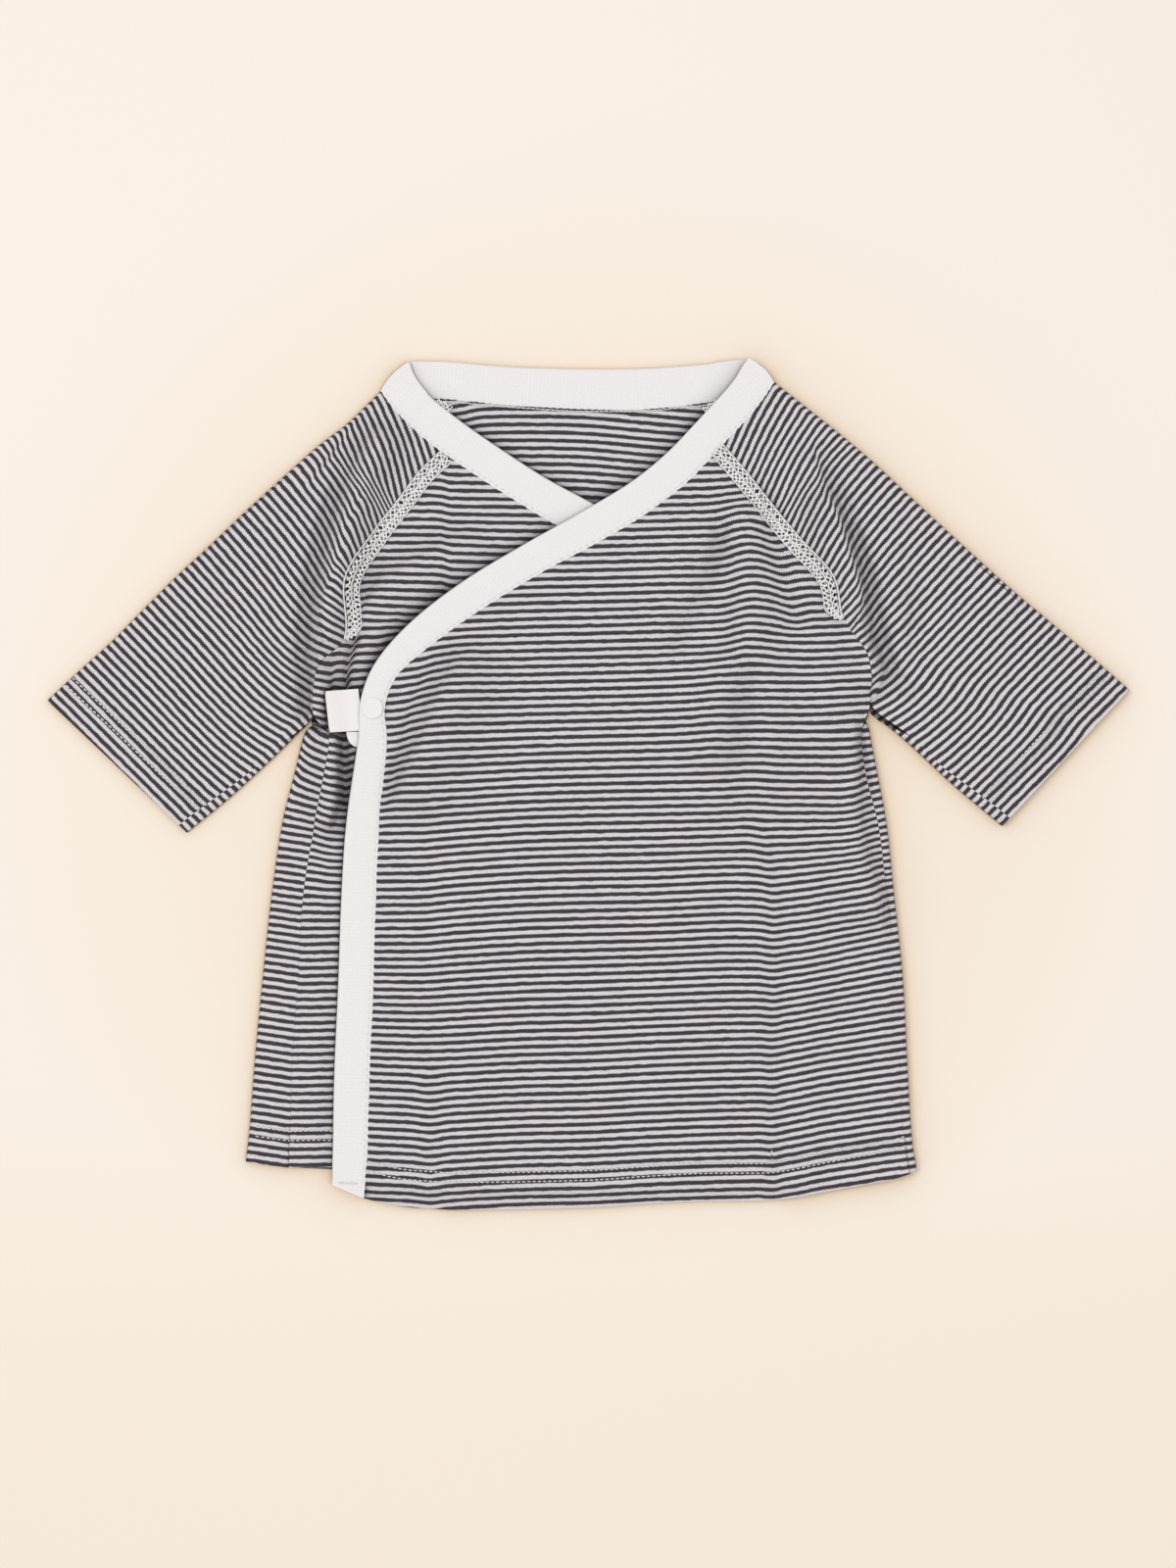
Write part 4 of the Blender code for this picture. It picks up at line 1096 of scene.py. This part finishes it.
for name, grid, distances, piece, node, stitch in (
        ("hem_stitching_left_front", over_grid, HEM_NEEDLES, front_over, "front_over",
         HEM_STITCH),
        ("hem_stitching_right_front", under_grid[:, :STRIP_COLUMNS], STRIP_NEEDLES,
         front_under, "front_under", HEM_STITCH),
        ("hem_stitching_back", back_grid[:, :LIP_COLUMNS], STRIP_NEEDLES, back_panel,
         "back_panel", HEM_STITCH),
        ("cuff_stitching_right", sleeve_right_grid[::-1, :UPPER_COLUMNS], CUFF_NEEDLES,
         sleeve_right, "sleeve_right", CUFF_STITCH),
        ("cuff_stitching_left", sleeve_left_grid[::-1, :UPPER_COLUMNS], CUFF_NEEDLES,
         sleeve_left, "sleeve_left", CUFF_STITCH)):
    rows = sewn(name, [Run(hem_lines(grid, distances, piece), **stitch)])
    on_frame(rows, "white_tape", node)

BINDING_STITCH = dict(pitch=2.6, length=1.9, radius=0.13)
BINDING_ASIDE = 1.1         # how far in from the band's inner edge its stitches run
BINDING_ENDS = slice(6, -3)     # and they leave the very ends free
# A dense row of stitches across the lower end of the left front's band.
BARTACK = np.array(((-91.6, -146.6), (-84.6, -147)))
BARTACK_STITCH = dict(pitch=0.5, length=1.3, radius=0.16, angle=75, spread=12, seed=13)
BARTACK_STEP = 0.3
for name, rows, outward, piece, node in (
        ("binding_stitching_right", EDGE_UNDER_ROWS, -1, binding_under, "binding_under"),
        ("binding_stitching_left", EDGE_OVER_ROWS, 1, binding_over, "binding_over")):
    edge = sideways(through(rows, EDGE_STEPS)[BINDING_ENDS], outward * BINDING_ASIDE)
    line = dropped(resampled(edge, COVER_STEP)[0], piece, 0.0)
    runs = [Run([line], **BINDING_STITCH)]
    if outward > 0:
        tack = dropped(resampled(BARTACK, BARTACK_STEP)[0], piece, 0.0)
        runs.append(Run([tack], **BARTACK_STITCH))
    on_frame(sewn(name, runs), "white_rib", node)

# ================================================================= press stud
# A small press stud of white acetal: a flat dished cap on the band's corner, its post
# through the rib, and the socket below that holds it to the right front.
STUD_WHITE = "#EDEAEB"
STUD_SEGMENTS = 48


def acetal():
    """Moulded white acetal: smooth with a faint satin shine."""
    material, tree = new_look("white_acetal")
    place = add(tree, "ShaderNodeTexCoord")
    flow = add(tree, "ShaderNodeTexNoise", {"Scale": 900, "Detail": 2},
               {"Vector": place.outputs["Object"]})
    bump = add(tree, "ShaderNodeBump", {"Strength": 0.15, "Distance": 0.05 * MM}, {"Height": flow})
    add(tree, "Principled BSDF", {"Roughness": 0.45, "IOR": 1.48, "Specular IOR Level": 0.35},
        {"Base Color": toned(tree, STUD_WHITE, flow, (0.3, 0.7), (0.98, 1)), "Normal": bump})
    return material


ACETAL = acetal()


def turned_part(name, profile):
    """A closed turned shape about the stud's axis, from radii and heights going up its
    outside from the middle below to the middle above."""
    angles = np.linspace(0, 2 * math.pi, STUD_SEGMENTS, endpoint=False)
    rings = [np.stack([STUD[0] + radius * np.cos(angles), STUD[1] + radius * np.sin(angles),
                       np.full(STUD_SEGMENTS, z)], -1) for radius, z in profile[1:-1]]
    points = np.concatenate(rings + [[(*STUD, profile[0][1]), (*STUD, profile[-1][1])]])
    index, after, faces = tube(len(rings), STUD_SEGMENTS)
    low, high = len(points) - 2, len(points) - 1
    faces += [(low, b, a) for a, b in zip(index[0].tolist(), after[0].tolist())]
    faces += [(high, a, b) for a, b in zip(index[-1].tolist(), after[-1].tolist())]
    return finished(name, points, faces, points[:, :2], ACETAL)


# Radii and heights: the cap's from the band's top, the socket's from the place of its node.
CAP_PROFILE = (
    (1.3, -0.2), (3.8, -0.1), (3.95, 0.01), (3.9, 0.06), (3.6, 0.12), (3.1, 0.13),
    (2.6, 0.11), (2.3, 0.06), (2.1, 0.04), (1.8, 0.1), (1.2, 0.12), (0.6, 0.1), (0.0, 0.1))
SOCKET_PROFILE = ((0, -0.3), (3.7, -0.3), (4, 0), (4, 0.5), (3.7, 0.7), (0, 0.7))
POST_RADIUS = 1.3
POST_FOOT = 0.1
band_top = Z_OVER - CAD_WALL / 2 + STUD_LIFT + BAND
socket_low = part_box("stud_socket")[0].z / MM
post = ((0, socket_low + POST_FOOT), (POST_RADIUS, socket_low + POST_FOOT))
cap = turned_part("press_stud_cap", post + tuple(
    (radius, band_top + height) for radius, height in CAP_PROFILE))
socket = turned_part("press_stud_socket", tuple(
    (radius, socket_low + height) for radius, height in SOCKET_PROFILE))
on_frame(cap, "white_stud", "stud_cap")
on_frame(socket, "white_stud", "stud_socket")

# ================================================================= tape tab
# A short pull tab of white cotton tape, folded end to end and sewn in below the wrap's
# corner, with the cut end of the tape showing under it.
TAPE_WHITE = "#F3F0F0"
TAPE_THREAD = 0.9           # one thread of the weave; the real 0.4 mm is too fine to show
TAPE_WALL = 0.45
# At the tab's upper end and at its lower end: its fold, then its inner edge.
TAB_CORNERS = (((-96.6, 33.7), (-85.4, 34.6)), ((-94.9, 18.6), (-84.2, 19.3)))
TAB_WIDTH = 15.0
TAB_UNDER = 11.5            # how far each half reaches from the fold
TAB_OVER = 10.6
TAB_LIFT = 2.1              # its fold lies on the bulge of the cloth beside the arm
TAB_BULGE = 9.0             # which reaches this far in from the fold
TAB_TURN = 1.6              # how far the upper half then turns down below the band
TAB_END = 0.5               # and how far above the lower half it ends
TAB_ROUNDED = (0.5, 14, 2.5)    # its corners: how far drawn in, how suddenly, out to where
TAB_ROWS = 25
TAB_COLUMNS = (12, 8, 14)   # of the lower half, round the fold, and of the upper half
TAPE_END = (-84.6, 18.9)    # the middle of the cut end's upper edge
TAPE_END_REACH = (4.2, 5.6)     # how far it shows to each side and down
TAPE_END_LIFT = 0.3
TAPE_END_WALL = 0.3
TAPE_END_POINTS = (19, 9)
TAPE_END_CORE = 0.02        # the share of its width that its middle keeps, so no points meet


def cotton_tape():
    """Bleached plain-woven cotton tape: matt, close and flat, whiter than the rib."""
    material, tree = new_look("white_cotton_tape")
    part = place_in_cloth(tree)[1]
    warp, weft = [add(tree, "ShaderNodeMath", {"operation": "PINGPONG", 1: TAPE_THREAD / 2},
                      {0: part.outputs[index]}) for index in (0, 1)]
    weave = add(tree, "ShaderNodeMath", {"operation": "ADD"}, {0: warp, 1: weft})
    bump = add(tree, "ShaderNodeBump", {"Strength": 0.3, "Distance": 0.15 * MM}, {"Height": weave})
    colour = toned(tree, TAPE_WHITE, weave, (0, TAPE_THREAD), (0.97, 1))
    add(tree, "Principled BSDF", {"Roughness": 0.85, "Specular IOR Level": 0.25},
        {"Base Color": colour, "Normal": bump})
    return material


TAPE = cotton_tape()
tape_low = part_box("tape_tab")[0].z / MM + TAPE_WALL / 2
tape_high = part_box("tape_tab")[1].z / MM - TAPE_WALL / 2
radius = (tape_high - tape_low) / 2
corners = np.array(TAB_CORNERS)
down = np.linspace(0, 1, TAB_ROWS)[:, None]
fold_edge = corners[0, 0] * (1 - down) + corners[1, 0] * down
inner_edge = corners[0, 1] * (1 - down) + corners[1, 1] * down
run_in = unit(inner_edge - fold_edge)
centre = radius + TAPE_WALL / 2
stations = [(reach, tape_low) for reach in np.linspace(TAB_UNDER, centre, TAB_COLUMNS[0])]
stations += [(centre - radius * math.sin(angle), tape_low + radius * (1 - math.cos(angle)))
             for angle in np.linspace(0, math.pi, TAB_COLUMNS[1])[1:-1]]
stations += [(reach, tape_high) for reach in np.linspace(centre, TAB_OVER, TAB_COLUMNS[2])]
stations += [(TAB_OVER + TAB_TURN * share,
              tape_high - (tape_high - tape_low - TAB_END) * eased(share))
             for share in (0.25, 0.5, 0.75, 1.0)]
reaches, levels = np.array(stations).T
tab_grid = np.empty((len(down), len(stations), 3))
tab_grid[..., :2] = fold_edge[:, None] + run_in[:, None] * reaches[:, None]
tab_grid[..., 2] = levels + TAB_LIFT * eased(1 - reaches / TAB_BULGE)
drawn, sharpness, drawn_to = TAB_ROUNDED
soft = drawn * np.abs(2 * down - 1) ** sharpness
tab_grid[..., :2] += (run_in * soft)[:, None] * (reaches < drawn_to)[:, None]
tab_place = np.broadcast_to(down * TAB_WIDTH, tab_grid.shape[:2])
tab = cloth("tape_tab_fold", tab_grid, tab_place, TAPE_WALL, TAPE)
on_frame(tab, "white_tape", "tape_tab")

angles = np.linspace(-math.pi / 2, math.pi / 2, TAPE_END_POINTS[0])[:, None]
out = np.linspace(0, 1, TAPE_END_POINTS[1])[None, :]
end_x = TAPE_END[0] + TAPE_END_REACH[0] * np.sin(angles) * (
    TAPE_END_CORE + (1 - TAPE_END_CORE) * out)
end_y = TAPE_END[1] - TAPE_END_REACH[1] * np.cos(angles) * out
end_z = np.full_like(end_x, Z_UNDER + WALL / 2 + TAPE_END_LIFT)
end_grid = np.stack([end_x, end_y, end_z], -1)
tape_end = cloth("tape_end", end_grid, end_y, TAPE_END_WALL, TAPE)
on_frame(tape_end, "white_tape", "tape_tab")

# ================================================================= floor, light, camera
# A cream table top with painted shadow and shade round the cloth, one big soft lamp from the upper
# left and even light all round.
FLOOR_PALE = "#FAF1E9"
# A darker, warmer tone: painted shade round the garment, and the same tone towards the foot.
FLOOR_WARM_AND_PAINTED_SHADE = "#F6EBDC"
FLOOR_PAINTED_SHADOW = "#ECD4B6"      # painted shadow: the board's colour where the cloth keeps light from it
SHADE_REACH = 0.025
KEY_LEVEL = 0.73            # share of the light that comes from the lamp; 1 is full level
KEY_TINT = (1.0, 0.995, 0.99)
FILL_LEVEL = 0.41
FILL_TINT = (1.0, 0.965, 0.925, 1.0)
LAMP_PLACE = Vector((-0.25, 0.1, 2.6))
LAMP_SIZE = (0.7, 3.0)      # a long light box over the table, from head to foot
FLOOR_HALF = 3.0            # in metres, as all that follows here
FLOOR_LEVEL = -0.0002
LENS = 85.0                 # this one in mm
CAMERA_PLACE = (0.0, -0.0003, 1.364)
floor_data = bpy.data.meshes.new("floor")
floor_data.from_pydata(
    [(x * FLOOR_HALF, y * FLOOR_HALF, FLOOR_LEVEL)
     for x, y in ((-1, -1), (1, -1), (1, 1), (-1, 1))], [], [(0, 1, 2, 3)])
floor = bpy.data.objects.new("floor", floor_data)
bpy.context.scene.collection.objects.link(floor)
board, tree = new_look("matt_cream_board")
place = add(tree, "ShaderNodeTexCoord").outputs["Object"]
# Painted shade: darker and warmer round the garment, from 0.27 m to 0.1 m from its middle; the same
# tone also towards the foot.
length = add(tree, "ShaderNodeVectorMath", {"operation": "LENGTH"}, {0: place})
near = add(tree, "ShaderNodeMapRange", {"interpolation_type": "SMOOTHSTEP", 1: 0.10, 2: 0.27,
                                        3: 1, 4: 0}, {0: length.outputs[1]})
part = add(tree, "ShaderNodeSeparateXYZ", {}, {0: place})
low = add(tree, "ShaderNodeMapRange", {"interpolation_type": "SMOOTHSTEP", 1: -0.06, 2: -0.24,
                                       3: 0, 4: 0.75}, {0: part.outputs[1]})
warm_and_painted_shade_mask = add(tree, "ShaderNodeMath", {"operation": "MAXIMUM"}, {0: near, 1: low})
cream = add(tree, "ShaderNodeMix", {"data_type": "RGBA", 6: linear(FLOOR_PALE),
                                    7: linear(FLOOR_WARM_AND_PAINTED_SHADE)}, {0: warm_and_painted_shade_mask})
# Painted shadow: the board takes the shadow tone where the cloth within reach keeps light from it.
hidden = add(tree, "ShaderNodeAmbientOcclusion", {"samples": 8, "Distance": SHADE_REACH})
shade = add(tree, "ShaderNodeMapRange", {1: 1, 2: 0.55, 3: 0, 4: 1}, {0: hidden.outputs[1]})
board_painted_shadow = add(tree, "ShaderNodeMix", {"data_type": "RGBA", 7: linear(FLOOR_PAINTED_SHADOW)},
             {0: shade, 6: cream.outputs[2]})
add(tree, "Principled BSDF", {"Roughness": 1, "Specular IOR Level": 0},
    {"Base Color": board_painted_shadow.outputs[2]})
floor_data.materials.append(board)
floor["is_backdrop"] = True

world = bpy.data.worlds.new("even_light")
bpy.context.scene.world = world
world.use_nodes = True
even = world.node_tree.nodes["Background"]
even.inputs["Color"].default_value = FILL_TINT
even.inputs["Strength"].default_value = FILL_LEVEL

lamp_data = bpy.data.lights.new("soft_lamp", "AREA")
lamp_data.shape = "RECTANGLE"
lamp_data.size, lamp_data.size_y = LAMP_SIZE
lamp_data.energy = (KEY_LEVEL * math.pi ** 2 * LAMP_PLACE.length_squared
                    * LAMP_PLACE.length / LAMP_PLACE.z)
lamp_data.color = KEY_TINT
lamp = bpy.data.objects.new("soft_lamp", lamp_data)
lamp.location = LAMP_PLACE
lamp.rotation_euler = (-LAMP_PLACE).to_track_quat("-Z", "Y").to_euler()
bpy.context.scene.collection.objects.link(lamp)

camera_data = bpy.data.cameras.new("camera")
camera_data.lens = LENS
camera = bpy.data.objects.new("camera", camera_data)
camera.location = CAMERA_PLACE
bpy.context.scene.collection.objects.link(camera)
bpy.context.scene.camera = camera
bpy.context.scene.view_settings.view_transform = "Standard"

low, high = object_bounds()
